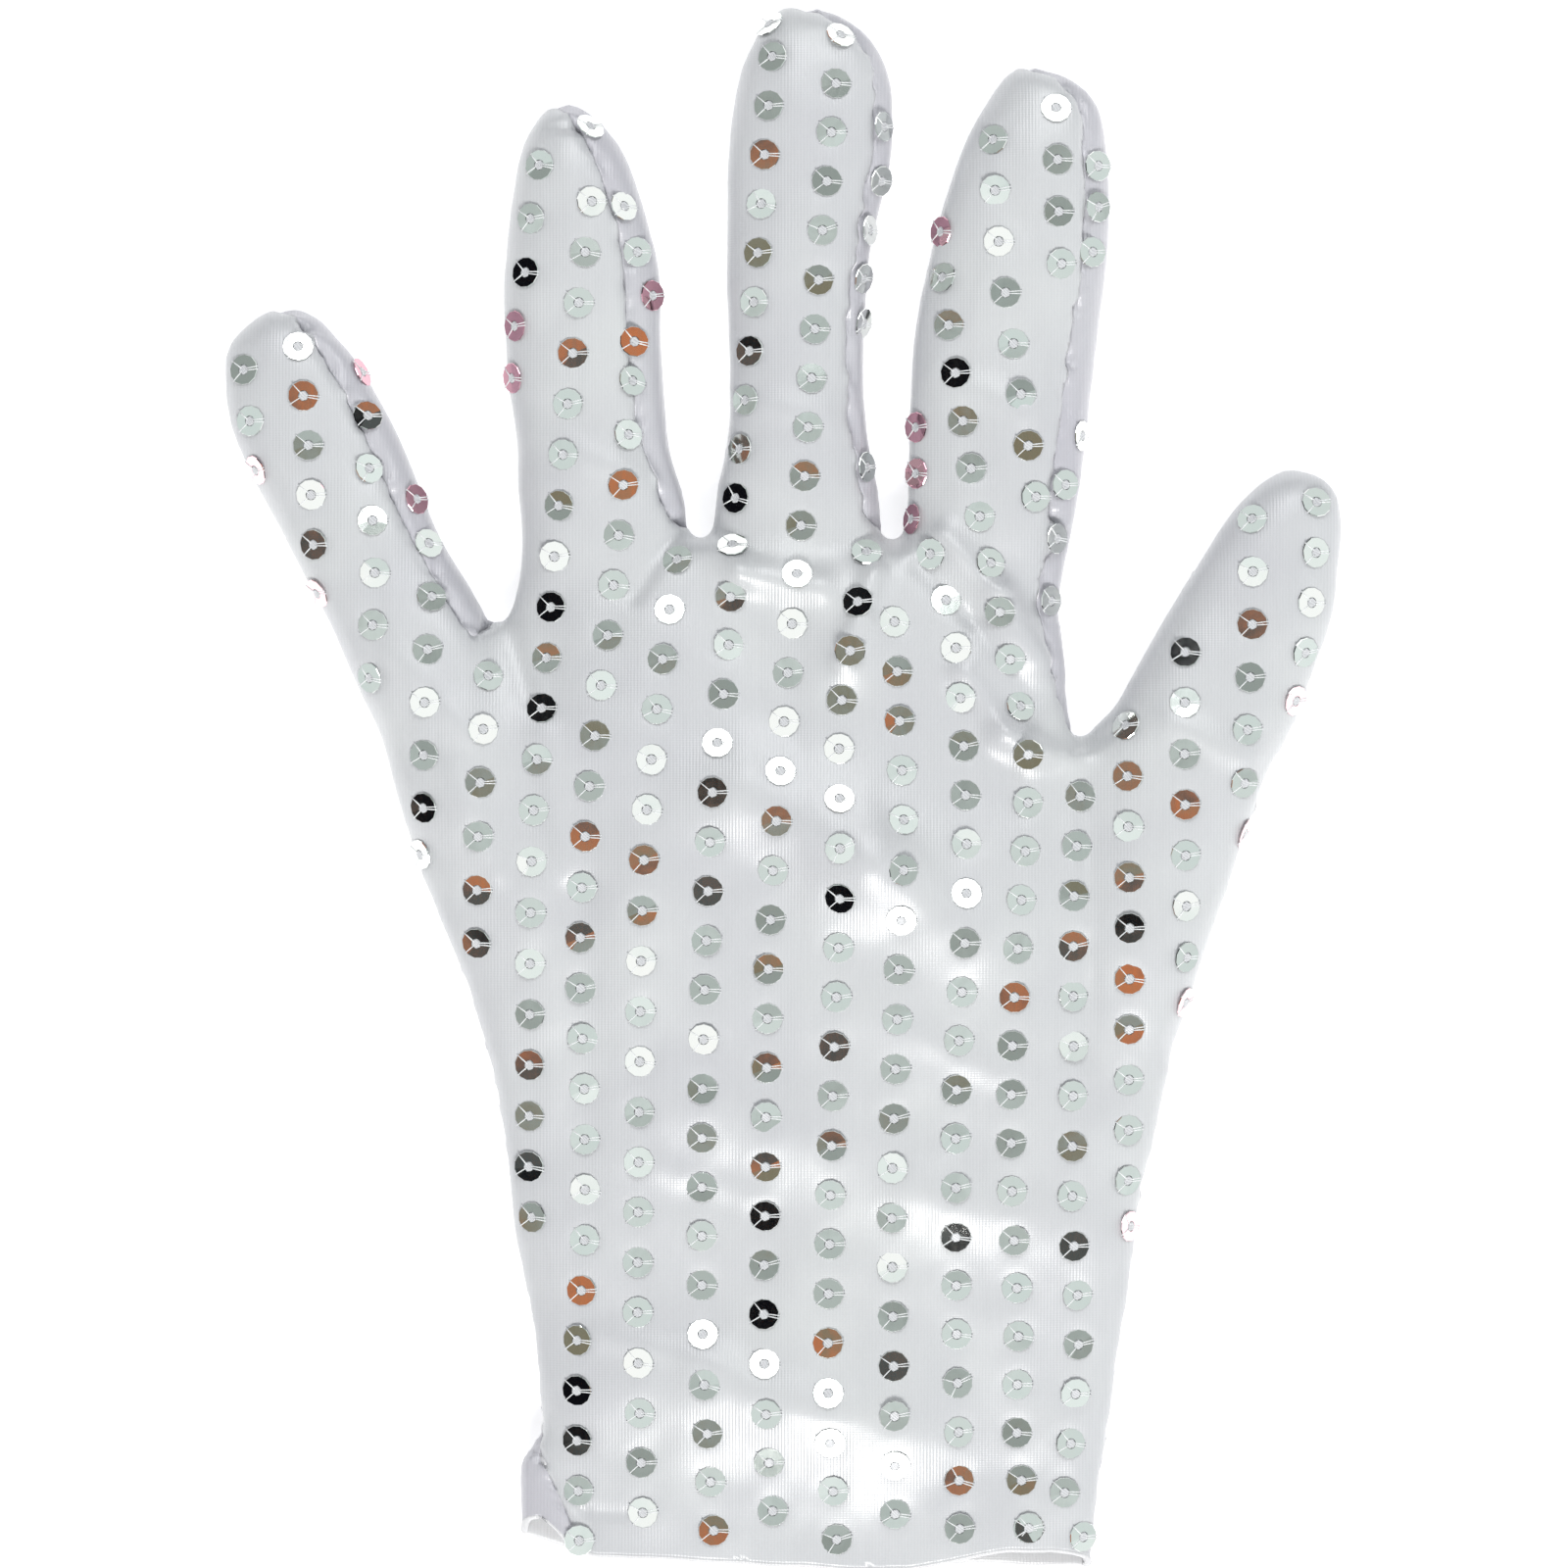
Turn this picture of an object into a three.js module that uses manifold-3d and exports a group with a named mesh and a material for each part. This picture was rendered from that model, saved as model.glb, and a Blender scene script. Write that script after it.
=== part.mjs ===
// A knit dress glove, lying flat with its fingers up, sewn with lengthwise rows of round sequins.
// Millimetres, +Y from the cuff to the fingertips, +Z up, origin at the middle of the footprint.

import * as THREE from "three";
import { mergeVertices } from "three/addons/utils/BufferGeometryUtils.js";
import Module from "manifold-3d";

const wasm = await Module();
wasm.setup();

// Driving dimensions
const WALL = 1.2; // the knit with its folds and seam allowance pressed flat
const GAP = 0.4; // clearance between the two panels along their seam
const CUFF_Y = -125;
const EQUATOR = 0.42; // height of the widest line of a section, as a part of its top height
const BOTTOM_FLATNESS = 1.35; // over 1, the underside lies flat on the surface for most of its width
const ROUNDNESS = 0.8; // 1 is an elliptic section, less is fuller
const HEM_DEPTH = 12;
const HEM_WALL = 0.8;
const HEM_CLEARANCE = 0.3;
const SEQUIN_RADIUS = 2.5;
const SEQUIN_RISE = 0.5;
const SEQUIN_SIDES = 10;
const SEQUIN_CLEARANCE = 0.32;

// Lesser dimensions
const CUFF_SLOPE = { startY: -100, run: 25, startX: 10, width: 32, rise: 1.9 };
const CUFF_CORNER = { startX: -28, width: 14, rise: 3.6 };
const LEAST_HALF_WIDTH = 0.5; // of a tip's section, once the wall is taken off
const LEAST_HEIGHT = 0.3;
const TIP_SETBACK = 1.4; // a closed tip is this many walls thick along Y
const SEAM_OVERHANG = 2; // the space above the seam reaches this far past both edges
const SEAM_TIP_MARGIN = 3;
const SEAM_CEILING = 60; // above the whole glove
const CUFF_RUN_OUT = 10; // cutting solids pass the cuff's edge by this
const HEM_BLOCK = [200, 40, 80];
const ABOVE_GLOVE = 80;
const SLOPE_REACH = 1.8; // half the span over which a sequin takes up the cloth's slope
const PATH_DIVISIONS = 400;

const CLOTH_FRONT = { color: 0xe9ecf1, roughness: 0.45, metalness: 0 };
const CLOTH_BACK = { color: 0xd9dde8, roughness: 0.5, metalness: 0 };
const CLOTH_HEM = { color: 0xf4f6f7, roughness: 0.45, metalness: 0 };
const SILVER_FILM = { color: 0xa9b4b0, roughness: 0.12, metalness: 1 };

// Each part of the hand is a loft of sections across the glove, from its tip to its base.
// Section columns: y, left edge, right edge, top height, round (1 in the body, less towards a tip).
// under: height of the left seam, as a part of the top height, [y, ratio] from tip to base.
// strip: how far in from the right edge the seam shows on top, [y, width] from tip to base.
// steps: facets over the top and underneath, on the outside and on the inside of the wall.
const HAND = {
  palm: {
    outsideSteps: [18, 6],
    insideSteps: [10, 4],
    under: [[40, 0.3], [10, EQUATOR]],
    strip: [[40, 9], [28, 6], [14, 3.6], [2, 0]],
    sections: [
      [38.6, -40.5, 43.0, 13.5, 0.55],
      [36.6, -42.4, 45.0, 14.5, 0.9],
      [30, -43.0, 44.6, 15.5, 1],
      [20, -49.0, 45.0, 16.7, 1],
      [6, -59.0, 47.2, 17.8, 1],
      [-9, -59.8, 54.0, 18.4, 1],
      [-20, -56.0, 57.5, 18.6, 1],
      [-34, -50.4, 61.0, 18.2, 1],
      [-44, -47.0, 62.2, 17.6, 1],
      [-56, -45.5, 59.8, 17, 1],
      [-70, -43.7, 56.9, 16, 1],
      [-86, -41.0, 55.0, 14.8, 1],
      [-103, -39.3, 52.3, 13.6, 1],
      [-112, -42.0, 50.8, 13, 1],
      [CUFF_Y, -42.3, 49.6, 12.5, 1],
    ],
  },
  pinky: {
    outsideSteps: [8, 4],
    insideSteps: [5, 4],
    under: [[25, 0.25], [-5, EQUATOR]],
    strip: [[76, 3], [66, 4.5], [25, 4]],
    sections: [
      [76.6, -81.6, -78.6, 12.4, 0.2],
      [74.8, -84.4, -74.6, 12.4, 0.65],
      [71.5, -88.0, -71.4, 12.6, 0.9],
      [67, -89.65, -67.8, 12.8, 1],
      [56, -88.2, -62.3, 13.2, 1],
      [40, -80.3, -55.2, 14, 1],
      [26, -73.1, -47.0, 15, 1],
      [8, -65.1, -38.0, 15.8, 1],
      [-9, -59.9, -32.0, 15.6, 1],
      [-24, -52.0, -34.0, 13, 0.7],
    ],
  },
  ring: {
    outsideSteps: [8, 4],
    insideSteps: [5, 4],
    under: [[125, 0.25]],
    strip: [[109, 3], [100, 5.2], [60, 4.6], [42, 2.4]],
    sections: [
      [109.3, -37.6, -34.2, 12.6, 0.2],
      [107.2, -39.4, -30.9, 12.6, 0.65],
      [103, -42.0, -26.8, 12.8, 0.9],
      [97, -43.2, -23.7, 13, 1],
      [85, -44.5, -20.5, 13.4, 1],
      [72, -44.9, -19.8, 13.6, 1],
      [56, -43.0, -18.6, 13.8, 1],
      [43, -42.6, -15.6, 14.2, 1],
      [28, -41.0, -14.0, 14, 0.8],
    ],
  },
  middle: {
    outsideSteps: [8, 4],
    insideSteps: [5, 4],
    under: [[125, 0.25]],
    strip: [[122, 1.5], [110, 2.4], [42, 2.2]],
    sections: [
      [125, 0.2, 4.6, 12.8, 0.2],
      [122.8, -2.9, 10.2, 12.8, 0.65],
      [119, -5.0, 14.4, 13, 0.9],
      [112, -7.6, 17.2, 13.2, 1],
      [100, -8.9, 16.9, 13.6, 1],
      [80, -9.0, 13.4, 13.8, 1],
      [58, -9.0, 13.2, 14, 1],
      [44, -11.2, 15.3, 14.4, 1],
      [28, -12.0, 16.0, 14, 0.8],
    ],
  },
  index: {
    outsideSteps: [8, 4],
    insideSteps: [5, 4],
    under: [[125, 0.25]],
    strip: [[114, 1.5], [100, 3.8], [60, 4.4], [40, 4.2], [18, 3.8]],
    sections: [
      [115.2, 37.2, 41.4, 12.6, 0.2],
      [113, 35.0, 46.2, 12.6, 0.65],
      [109, 32.6, 50.2, 12.8, 0.9],
      [102, 28.8, 51.7, 13, 1],
      [90, 24.5, 52.5, 13.4, 1],
      [76, 21.4, 51.1, 13.8, 1],
      [58, 20.1, 48.8, 14, 1],
      [44, 19.8, 46.9, 14.4, 1],
      [28, 18.0, 43.8, 14, 0.8],
    ],
  },
  thumb: {
    outsideSteps: [8, 4],
    insideSteps: [5, 4],
    under: [[20, 0.3], [0, EQUATOR]],
    strip: [[50, 0]],
    sections: [
      [50.4, 79.6, 83.4, 12.4, 0.2],
      [48.2, 76.4, 87.4, 12.4, 0.65],
      [44, 72.1, 89.2, 12.6, 0.92],
      [37, 67.4, 89.65, 12.8, 1],
      [25, 60.2, 87.3, 13.4, 1],
      [12, 52.0, 82.8, 14.2, 1],
      [0, 41.0, 77.0, 15, 1],
      [-14, 34.0, 72.3, 15.6, 1],
      [-32, 34.0, 66.3, 15.8, 1],
      [-52, 38.0, 58.0, 13.5, 0.8],
    ],
  },
};

// Soft folds of the upper cloth. Columns: start x, start y, end x, end y, height, half width.
const FOLDS = [
  [-41, 24, -33, -18, -1.1, 5],
  [-33, -18, -31, -50, -0.8, 5],
  [-12, 38, 9.5, 31, 0.9, 5],
  [17, 36, 10.5, 19, 1.3, 4.5],
  [21, 38, 36, 21, 1.5, 5],
  [36, 21, 45, 2, 1.3, 5],
  [49, 4, 49.5, -48, -1.1, 5],
  [-5, -3, 18, -15, 1.1, 8],
  [-36, -60, 0, -66, -0.8, 8],
  [22, -65, 56, -77, 1.0, 7],
  [-12, -95, 26, -106, 1.0, 7],
  [-5, 24, 0, -40, -0.7, 9],
];

// Sequin rows on the front panel. Columns: name, number of sequins, then the row's path through
// a few points [x, y] from the fingertip towards the cuff.
const ROWS = [
  ["pinky_left", 2, [[-86.2, 66.2], [-85.2, 58]]],
  ["pinky_middle", 5, [[-77.6, 69.8], [-75.9, 54.2], [-75.0, 38.2]]],
  ["pinky_right", 5, [[-66.3, 50.3], [-65.2, 33.7], [-66.0, 17]]],
  ["pinky_base", 5, [[-56.3, 29.8], [-57.1, 13.6], [-57.4, -3.8]]],
  ["palm_edge", 6, [[-47.3, 17.2], [-48.4, 0.5], [-49.0, -25.4]]],
  ["ring_left", 3, [[-39.0, 98.8], [-40.3, 90.5], [-41.2, 81.7]]],
  ["ring_middle", 21, [[-30.7, 92.9], [-33.7, 68.2], [-35.9, 44], [-37.4, 25], [-39.8, -4],
    [-40.4, -28.7], [-40.6, -61.3], [-40.2, -69.2]]],
  ["ring_right", 23, [[-25, 55.7], [-27.2, 31.2], [-30.9, -0.5], [-32.4, -24.4], [-31.8, -48.6],
    [-31.8, -73.2], [-33, -92], [-32.7, -121]]],
  ["ring_inner", 20, [[-17, 35.7], [-19.5, 18.4], [-21.9, -6], [-22.7, -28.8], [-23, -52.8],
    [-23.3, -85], [-22.5, -116.3]]],
  ["middle_left", 31, [[-1.8, 116.1], [-3.1, 99.1], [-4.9, 74.7], [-7.8, 43.7], [-8.9, 21.4],
    [-11.4, -2.9], [-12.8, -41], [-13.1, -72], [-12.8, -92], [-11.2, -119.1]]],
  ["middle_right", 31, [[9, 119.6], [6.7, 94.9], [5.3, 78.3], [2.6, 40], [0, 10], [-2.3, -25],
    [-2.9, -60], [-3.1, -93], [-1.8, -115.9]]],
  ["middle_edge", 21, [[13.1, 36.7], [10.4, 20.6], [8.8, 8], [8.9, -18], [7.9, -45], [7.3, -70],
    [7, -96.6], [8.4, -120.5]]],
  ["index_edge", 19, [[17.5, 25.8], [18.9, -6], [18, -37.1], [17.2, -65], [17.5, -97],
    [17.7, -116.4]]],
  ["index_inner", 21, [[23.5, 36.7], [27.4, 21.4], [28.8, 0], [28.8, -22], [27.4, -50],
    [27.4, -80], [28, -118.9]]],
  ["index_left", 27, [[25.4, 80.9], [27.6, 64.1], [31.6, 40.4], [37, 15], [38.9, 0], [36.5, -35],
    [36.2, -62.9], [37.3, -85], [37.2, -104], [39, -118.9]]],
  ["index_middle", 8, [[33.4, 102.9], [34.3, 86.1], [36.7, 69.3], [40, 45.8]]],
  ["index_right", 4, [[43.4, 107.9], [43.8, 91], [44.2, 83]]],
  ["thumb_side", 15, [[47.2, -2], [46.1, -18.6], [46, -44], [45.9, -68], [47, -86], [46.3, -100],
    [44.8, -113.3]]],
  ["thumb_base", 10, [[54.6, 9.3], [55, -14], [55, -39], [54.8, -63.3]]],
  ["thumb_left", 7, [[64.1, 21], [63.8, 4.3], [64.1, -27.6]]],
  ["thumb_middle", 6, [[74.8, 42.3], [74.7, 25.5], [73.3, 0.2]]],
  ["thumb_right", 4, [[85, 45], [84.7, 34], [83.2, 21]]],
];

function clamp01(value) {
  return Math.min(1, Math.max(0, value));
}

// Value of a two-column table at y. The table runs from high y to low y.
function tableAt(table, y) {
  if (y >= table[0][0]) return table[0][1];
  for (let i = 1; i < table.length; i += 1) {
    const [upperY, upperValue] = table[i - 1];
    const [lowerY, lowerValue] = table[i];
    if (y >= lowerY) {
      const share = (upperY - y) / (upperY - lowerY);
      return upperValue + (lowerValue - upperValue) * share;
    }
  }
  return table[table.length - 1][1];
}

// Height that the folds add to the upper cloth at a point, fading out at both ends of a fold.
function foldHeight(x, y) {
  let height = 0;
  for (const [startX, startY, endX, endY, rise, halfWidth] of FOLDS) {
    const runX = endX - startX;
    const runY = endY - startY;
    const length = Math.hypot(runX, runY);
    const along = ((x - startX) * runX + (y - startY) * runY) / length;
    const across = ((x - startX) * runY - (y - startY) * runX) / length;
    const past = Math.max(0, -along, along - length);
    height += rise * Math.exp(-((across / halfWidth) ** 2) - (past / halfWidth) ** 2);
  }
  return height;
}

// The cuff's edge isn't square: its left corner is pulled up, and the middle a little.
function cuffLift(x, y) {
  const nearCuff = clamp01((CUFF_SLOPE.startY - y) / CUFF_SLOPE.run);
  const slope = CUFF_SLOPE.rise * clamp01((CUFF_SLOPE.startX - x) / CUFF_SLOPE.width);
  const corner = CUFF_CORNER.rise * clamp01((CUFF_CORNER.startX - x) / CUFF_CORNER.width) ** 2;
  return nearCuff * (slope + corner);
}

// Closed section, as [x, y, z] points: over the top from right to left, then back underneath.
function sectionRing(part, section, inset) {
  const [y, left, right, top, round] = section;
  const middle = (left + right) / 2;
  const halfWidth = Math.max((right - left) / 2 - inset, LEAST_HALF_WIDTH);
  const equator = top * EQUATOR;
  const rise = Math.max((top - equator) * round - inset, LEAST_HEIGHT);
  const drop = Math.max(equator * round - inset, LEAST_HEIGHT);
  const ringY = y - TIP_SETBACK * inset * (1 - round);
  const ring = [];
  const [topSteps, bottomSteps] = inset > 0 ? part.insideSteps : part.outsideSteps;
  for (let i = 0; i < topSteps + bottomSteps; i += 1) {
    const above = i < topSteps;
    const angle = above
      ? (Math.PI * i) / topSteps
      : Math.PI + (Math.PI * (i - topSteps)) / bottomSteps;
    const x = middle + halfWidth * Math.cos(angle);
    const swell = Math.abs(Math.sin(angle)) ** ROUNDNESS;
    const fold = foldHeight(x, ringY) * swell ** 2 * round;
    const z = above
      ? equator + rise * swell + fold
      : equator - drop * Math.min(1, BOTTOM_FLATNESS * swell);
    ring.push([x, ringY + cuffLift(x, ringY), z]);
  }
  return ring;
}

// Four-sided section of the space above the seam, grown by a clearance on its open sides.
function seamRing(part, section, clearance) {
  const [y, left, right, top, round] = section;
  const middle = (left + right) / 2;
  const halfWidth = (right - left) / 2;
  const equator = top * EQUATOR;
  const leftHeight = top * tableAt(part.under, y);
  const strip = Math.min(tableAt(part.strip, y), halfWidth);
  const seamX = right - strip;
  const swell = Math.sqrt(clamp01(1 - ((seamX - middle) / halfWidth) ** 2)) ** ROUNDNESS;
  const seamHeight = equator + (top - equator) * swell * round;
  const slope = (seamHeight - leftHeight) / (seamX - left);
  const startX = left - SEAM_OVERHANG - clearance;
  const endX = right + SEAM_OVERHANG + clearance;
  const ringY = y + cuffLift(middle, y);
  return [
    [endX, ringY, SEAM_CEILING],
    [startX, ringY, SEAM_CEILING],
    [startX, ringY, leftHeight + slope * (startX - left) - clearance],
    [endX, ringY, leftHeight + slope * (endX - left) - clearance],
  ];
}

// Solid through a list of rings that all have the same number of points.
function loft(rings) {
  const count = rings[0].length;
  const positions = rings.flat(2);
  const triangles = [];
  for (let r = 0; r + 1 < rings.length; r += 1) {
    for (let i = 0; i < count; i += 1) {
      const next = (i + 1) % count;
      const a = r * count + i;
      const b = r * count + next;
      triangles.push(a, a + count, b, b, a + count, b + count);
    }
  }
  const outline = (ring) => ring.map(([x, , z]) => new THREE.Vector2(x, z));
  const lastStart = (rings.length - 1) * count;
  for (const [a, b, c] of THREE.ShapeUtils.triangulateShape(outline(rings[0]), [])) {
    triangles.push(a, b, c);
  }
  for (const [a, b, c] of THREE.ShapeUtils.triangulateShape(outline(rings.at(-1)), [])) {
    triangles.push(lastStart + a, lastStart + c, lastStart + b);
  }
  return solidFrom(positions, triangles);
}

function solidFrom(positions, triangles) {
  const geometry = new THREE.BufferGeometry();
  geometry.setAttribute("position", new THREE.Float32BufferAttribute(positions, 3));
  geometry.setIndex(triangles);
  const merged = mergeVertices(geometry, 1e-5);
  const solid = new wasm.Manifold(new wasm.Mesh({
    numProp: 3,
    vertProperties: merged.attributes.position.array,
    triVerts: new Uint32Array(merged.index.array),
  }));
  if (solid.volume() > 0) return solid;
  const turned = [];
  for (let i = 0; i < triangles.length; i += 3) {
    turned.push(triangles[i], triangles[i + 2], triangles[i + 1]);
  }
  return solidFrom(positions, turned);
}

function joinAll(solids) {
  return solids.reduce((total, solid) => total.add(solid));
}

function largestBody(solid) {
  const bodies = solid.decompose();
  return bodies.reduce((best, body) => (body.volume() > best.volume() ? body : best));
}

// The whole hand as one solid, set in by a distance. Set-in solids run out through the cuff.
function handSolid(inset) {
  return joinAll(Object.values(HAND).map((part) => {
    const rings = part.sections.map((section) => sectionRing(part, section, inset));
    if (part === HAND.palm && inset > 0) {
      rings.push(rings.at(-1).map(([x, y, z]) => [x, y - CUFF_RUN_OUT, z]));
    }
    return loft(rings);
  }));
}

// The space above the seam that runs round the hand.
function spaceAboveSeam(clearance) {
  return joinAll(Object.values(HAND).map((part) => {
    const rings = part.sections.map((section) => seamRing(part, section, clearance));
    const first = rings[0].map(([x, y, z]) => [x, y + SEAM_TIP_MARGIN + clearance, z]);
    const last = rings.at(-1).map(([x, y, z]) => [x, y - CUFF_RUN_OUT, z]);
    const runsOut = part === HAND.palm ? [last] : [];
    return loft([first, ...rings, ...runsOut]);
  }));
}

// The space in which the hem lies, from its top edge down past the cuff.
function hemBlock() {
  const [width, length, height] = HEM_BLOCK;
  const block = new THREE.BoxGeometry(width, length, height).toNonIndexed();
  block.translate(0, CUFF_Y + HEM_DEPTH - length / 2, 0);
  block.deleteAttribute("normal");
  block.deleteAttribute("uv");
  const merged = mergeVertices(block);
  return solidFrom([...merged.attributes.position.array], [...merged.index.array]);
}

function meshFrom(name, solid, look) {
  const { numProp, vertProperties, triVerts } = solid.getMesh();
  const points = [];
  for (let i = 0; i < vertProperties.length; i += numProp) {
    points.push(vertProperties[i], vertProperties[i + 1], vertProperties[i + 2]);
  }
  const geometry = new THREE.BufferGeometry();
  geometry.setAttribute("position", new THREE.Float32BufferAttribute(points, 3));
  geometry.setIndex([...triVerts]);
  geometry.computeVertexNormals();
  const mesh = new THREE.Mesh(geometry, new THREE.MeshStandardMaterial(look));
  mesh.name = name;
  return mesh;
}

// Height of the cloth's top at a point, or null beside the glove.
function clothHeight(cloth, x, y) {
  const start = new THREE.Vector3(x, y, ABOVE_GLOVE);
  const hit = new THREE.Raycaster(start, new THREE.Vector3(0, 0, -1)).intersectObject(cloth)[0];
  return hit ? hit.point.z : null;
}

// Upward direction of the cloth at a point, from its heights a little to each side.
function clothNormal(cloth, x, y) {
  const here = clothHeight(cloth, x, y);
  const slope = (dx, dy) => {
    const ahead = clothHeight(cloth, x + dx, y + dy);
    const behind = clothHeight(cloth, x - dx, y - dy);
    if (ahead === null) return (here - behind) / SLOPE_REACH;
    if (behind === null) return (ahead - here) / SLOPE_REACH;
    return (ahead - behind) / (2 * SLOPE_REACH);
  };
  return new THREE.Vector3(-slope(SLOPE_REACH, 0), -slope(0, SLOPE_REACH), 1).normalize();
}

// One sequin, lying on the cloth: its rim and its centre, which the thread lifts a little.
function sequin(cloth, point, travel) {
  const normal = clothNormal(cloth, point.x, point.y);
  const ahead = travel.clone().addScaledVector(normal, -travel.dot(normal)).normalize();
  const aside = new THREE.Vector3().crossVectors(normal, ahead);
  const centre = new THREE.Vector3(point.x, point.y, clothHeight(cloth, point.x, point.y));
  const rim = [];
  for (let k = 0; k < SEQUIN_SIDES; k += 1) {
    const angle = ((k + 0.5) * 2 * Math.PI) / SEQUIN_SIDES;
    rim.push(centre.clone()
      .addScaledVector(ahead, SEQUIN_RADIUS * Math.cos(angle))
      .addScaledVector(aside, SEQUIN_RADIUS * Math.sin(angle)));
  }
  let lift = 0;
  for (const corner of [...rim, centre]) {
    const under = clothHeight(cloth, corner.x, corner.y);
    if (under !== null) lift = Math.max(lift, under - corner.z);
  }
  const up = normal.clone().multiplyScalar((lift + SEQUIN_CLEARANCE) / normal.z);
  for (const corner of rim) corner.add(up);
  const peak = centre.add(up).addScaledVector(normal, SEQUIN_RISE);
  return [...rim, peak];
}

// A row of sequins on one thread. The thread runs from centre to centre over the gap between two
// rims, and each sequin gives up the facet that the thread leaves it through.
function sequinRow(cloth, [, count, knots]) {
  const curve = new THREE.CatmullRomCurve3(knots.map(([x, y]) => new THREE.Vector3(x, y, 0)));
  curve.arcLengthDivisions = PATH_DIVISIONS;
  const points = curve.getSpacedPoints(count - 1);
  const positions = [];
  const triangles = [];
  const size = SEQUIN_SIDES + 1;
  const peak = SEQUIN_SIDES;
  const back = SEQUIN_SIDES / 2 - 1;
  const front = SEQUIN_SIDES - 1;
  points.forEach((point, i) => {
    const travel = new THREE.Vector3()
      .subVectors(points[Math.min(i + 1, count - 1)], points[Math.max(i - 1, 0)]);
    for (const corner of sequin(cloth, point, travel)) positions.push(corner.x, corner.y, corner.z);
    const base = i * size;
    for (let k = 1; k + 1 < SEQUIN_SIDES; k += 1) triangles.push(base, base + k + 1, base + k);
    for (let k = 0; k < SEQUIN_SIDES; k += 1) {
      const towardsNext = k === front && i + 1 < count;
      const towardsLast = k === back && i > 0;
      if (towardsNext || towardsLast) continue;
      triangles.push(base + k, base + ((k + 1) % SEQUIN_SIDES), base + peak);
    }
    if (i + 1 === count) return;
    const next = base + size;
    const near = [base + front, base, base + peak];
    const far = [next + back + 1, next + back, next + peak];
    for (let side = 0; side < 3; side += 1) {
      const a = near[side];
      const b = near[(side + 1) % 3];
      const c = far[side];
      const d = far[(side + 1) % 3];
      triangles.push(a, b, c, b, d, c);
    }
  });
  return solidFrom(positions, triangles);
}

const outer = handSolid(0);
const hollow = handSolid(WALL);
const shell = outer.subtract(hollow);
const aboveFront = spaceAboveSeam(-GAP / 2);
const aboveBack = spaceAboveSeam(GAP / 2);
const hemShell = handSolid(WALL + HEM_CLEARANCE)
  .subtract(handSolid(WALL + HEM_CLEARANCE + HEM_WALL))
  .intersect(outer)
  .intersect(hemBlock());

const frontPanel = meshFrom("front_panel", largestBody(shell.intersect(aboveFront)), CLOTH_FRONT);
const glove = new THREE.Group();
glove.add(frontPanel);
glove.add(meshFrom("back_panel", largestBody(shell.subtract(aboveBack)), CLOTH_BACK));
glove.add(meshFrom("front_cuff_hem", largestBody(hemShell.intersect(aboveFront)), CLOTH_HEM));
glove.add(meshFrom("back_cuff_hem", largestBody(hemShell.subtract(aboveBack)), CLOTH_HEM));
for (const row of ROWS) {
  glove.add(meshFrom(`sequin_row_${row[0]}`, sequinRow(frontPanel, row), SILVER_FILM));
}

export default glove;
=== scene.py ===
import math
import random

import bmesh
import bpy
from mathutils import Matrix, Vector, noise
from mathutils.bvhtree import BVHTree
from mathutils.kdtree import KDTree


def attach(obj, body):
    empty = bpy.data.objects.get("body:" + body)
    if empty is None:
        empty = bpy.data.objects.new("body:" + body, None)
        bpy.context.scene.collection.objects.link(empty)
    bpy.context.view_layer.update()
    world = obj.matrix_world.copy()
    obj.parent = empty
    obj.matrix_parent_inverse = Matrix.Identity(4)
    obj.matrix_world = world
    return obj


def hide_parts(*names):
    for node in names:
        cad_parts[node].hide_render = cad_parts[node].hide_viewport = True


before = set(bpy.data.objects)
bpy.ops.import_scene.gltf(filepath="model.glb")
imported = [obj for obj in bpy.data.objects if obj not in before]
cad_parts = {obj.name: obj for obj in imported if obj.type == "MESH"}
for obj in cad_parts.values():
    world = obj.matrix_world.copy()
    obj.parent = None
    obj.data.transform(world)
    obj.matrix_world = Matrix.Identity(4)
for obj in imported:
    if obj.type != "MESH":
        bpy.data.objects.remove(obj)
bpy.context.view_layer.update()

# A satin knit dress glove with sewn rows of sequins. Shapes are worked out in millimetres, in the
# CAD's own frame, and made metres when a piece is finished.
MM = 0.001
CUFF_Y = -125
EQUATOR = 0.42  # height of a section's widest line, as a part of its top height
BOTTOM_FLATNESS = 1.35
ROUNDNESS = 0.8
GLOVE_TOP = 19
UNDERSIDE_LIFT = 1.0  # room below the cloth for the sequins that it lies on

RING_STEP = 1.6
RING_POINTS = 96
VOXEL = 0.95
CUFF_OVERRUN = 8
FORM_PASSES = 5
JUNCTION_PASSES = 14
SAME_PLACE = 1e-4

# Unevenness of the cloth: size of its patches, in x and in y where these differ, then its height.
BROAD_WRINKLES = (13, 0.66)
FINE_WRINKLES = (5, 0.11)
DRAWN_WRINKLES = (5, 19, 0.16)
CUFF_WAVES = (9, 0.45)
CALM_UNDERSIDE = 0.35  # wrinkles where the cloth touches the table, as a part of the full ones
CALM_HEIGHT = 12
FACES_UP = 0.1  # upward part of the cloth's direction from which it has creases and dimples

CLOTH_THICKNESS = 0.5
SEAM_REACH = 4.5
SEAM_PASSES = 20
SEAM_EVENING = 3
EVENING_PASSES = 5
SEAM_OVERHANG = 2
SEAM_TIP_MARGIN = 3
CUT_MARGIN = 0.15  # least share of a cloth edge that the seam's cut leaves on each side
FRONT_PRESS = (0.45, 1.0)  # how deep the cloth is drawn in beside the seam, and over what width
STRIP_PRESS = (0.75, 1.7)
PUCKER = 2.0  # how much that depth varies, as a part of it
PUCKER_SIZE = 2.6
HEM_ROLL = 0.6
HEM_DEPTH = 12
HEM_CLOTH = 0.42
ROLL_STEPS = 8
BAND_STEPS = 12

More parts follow.
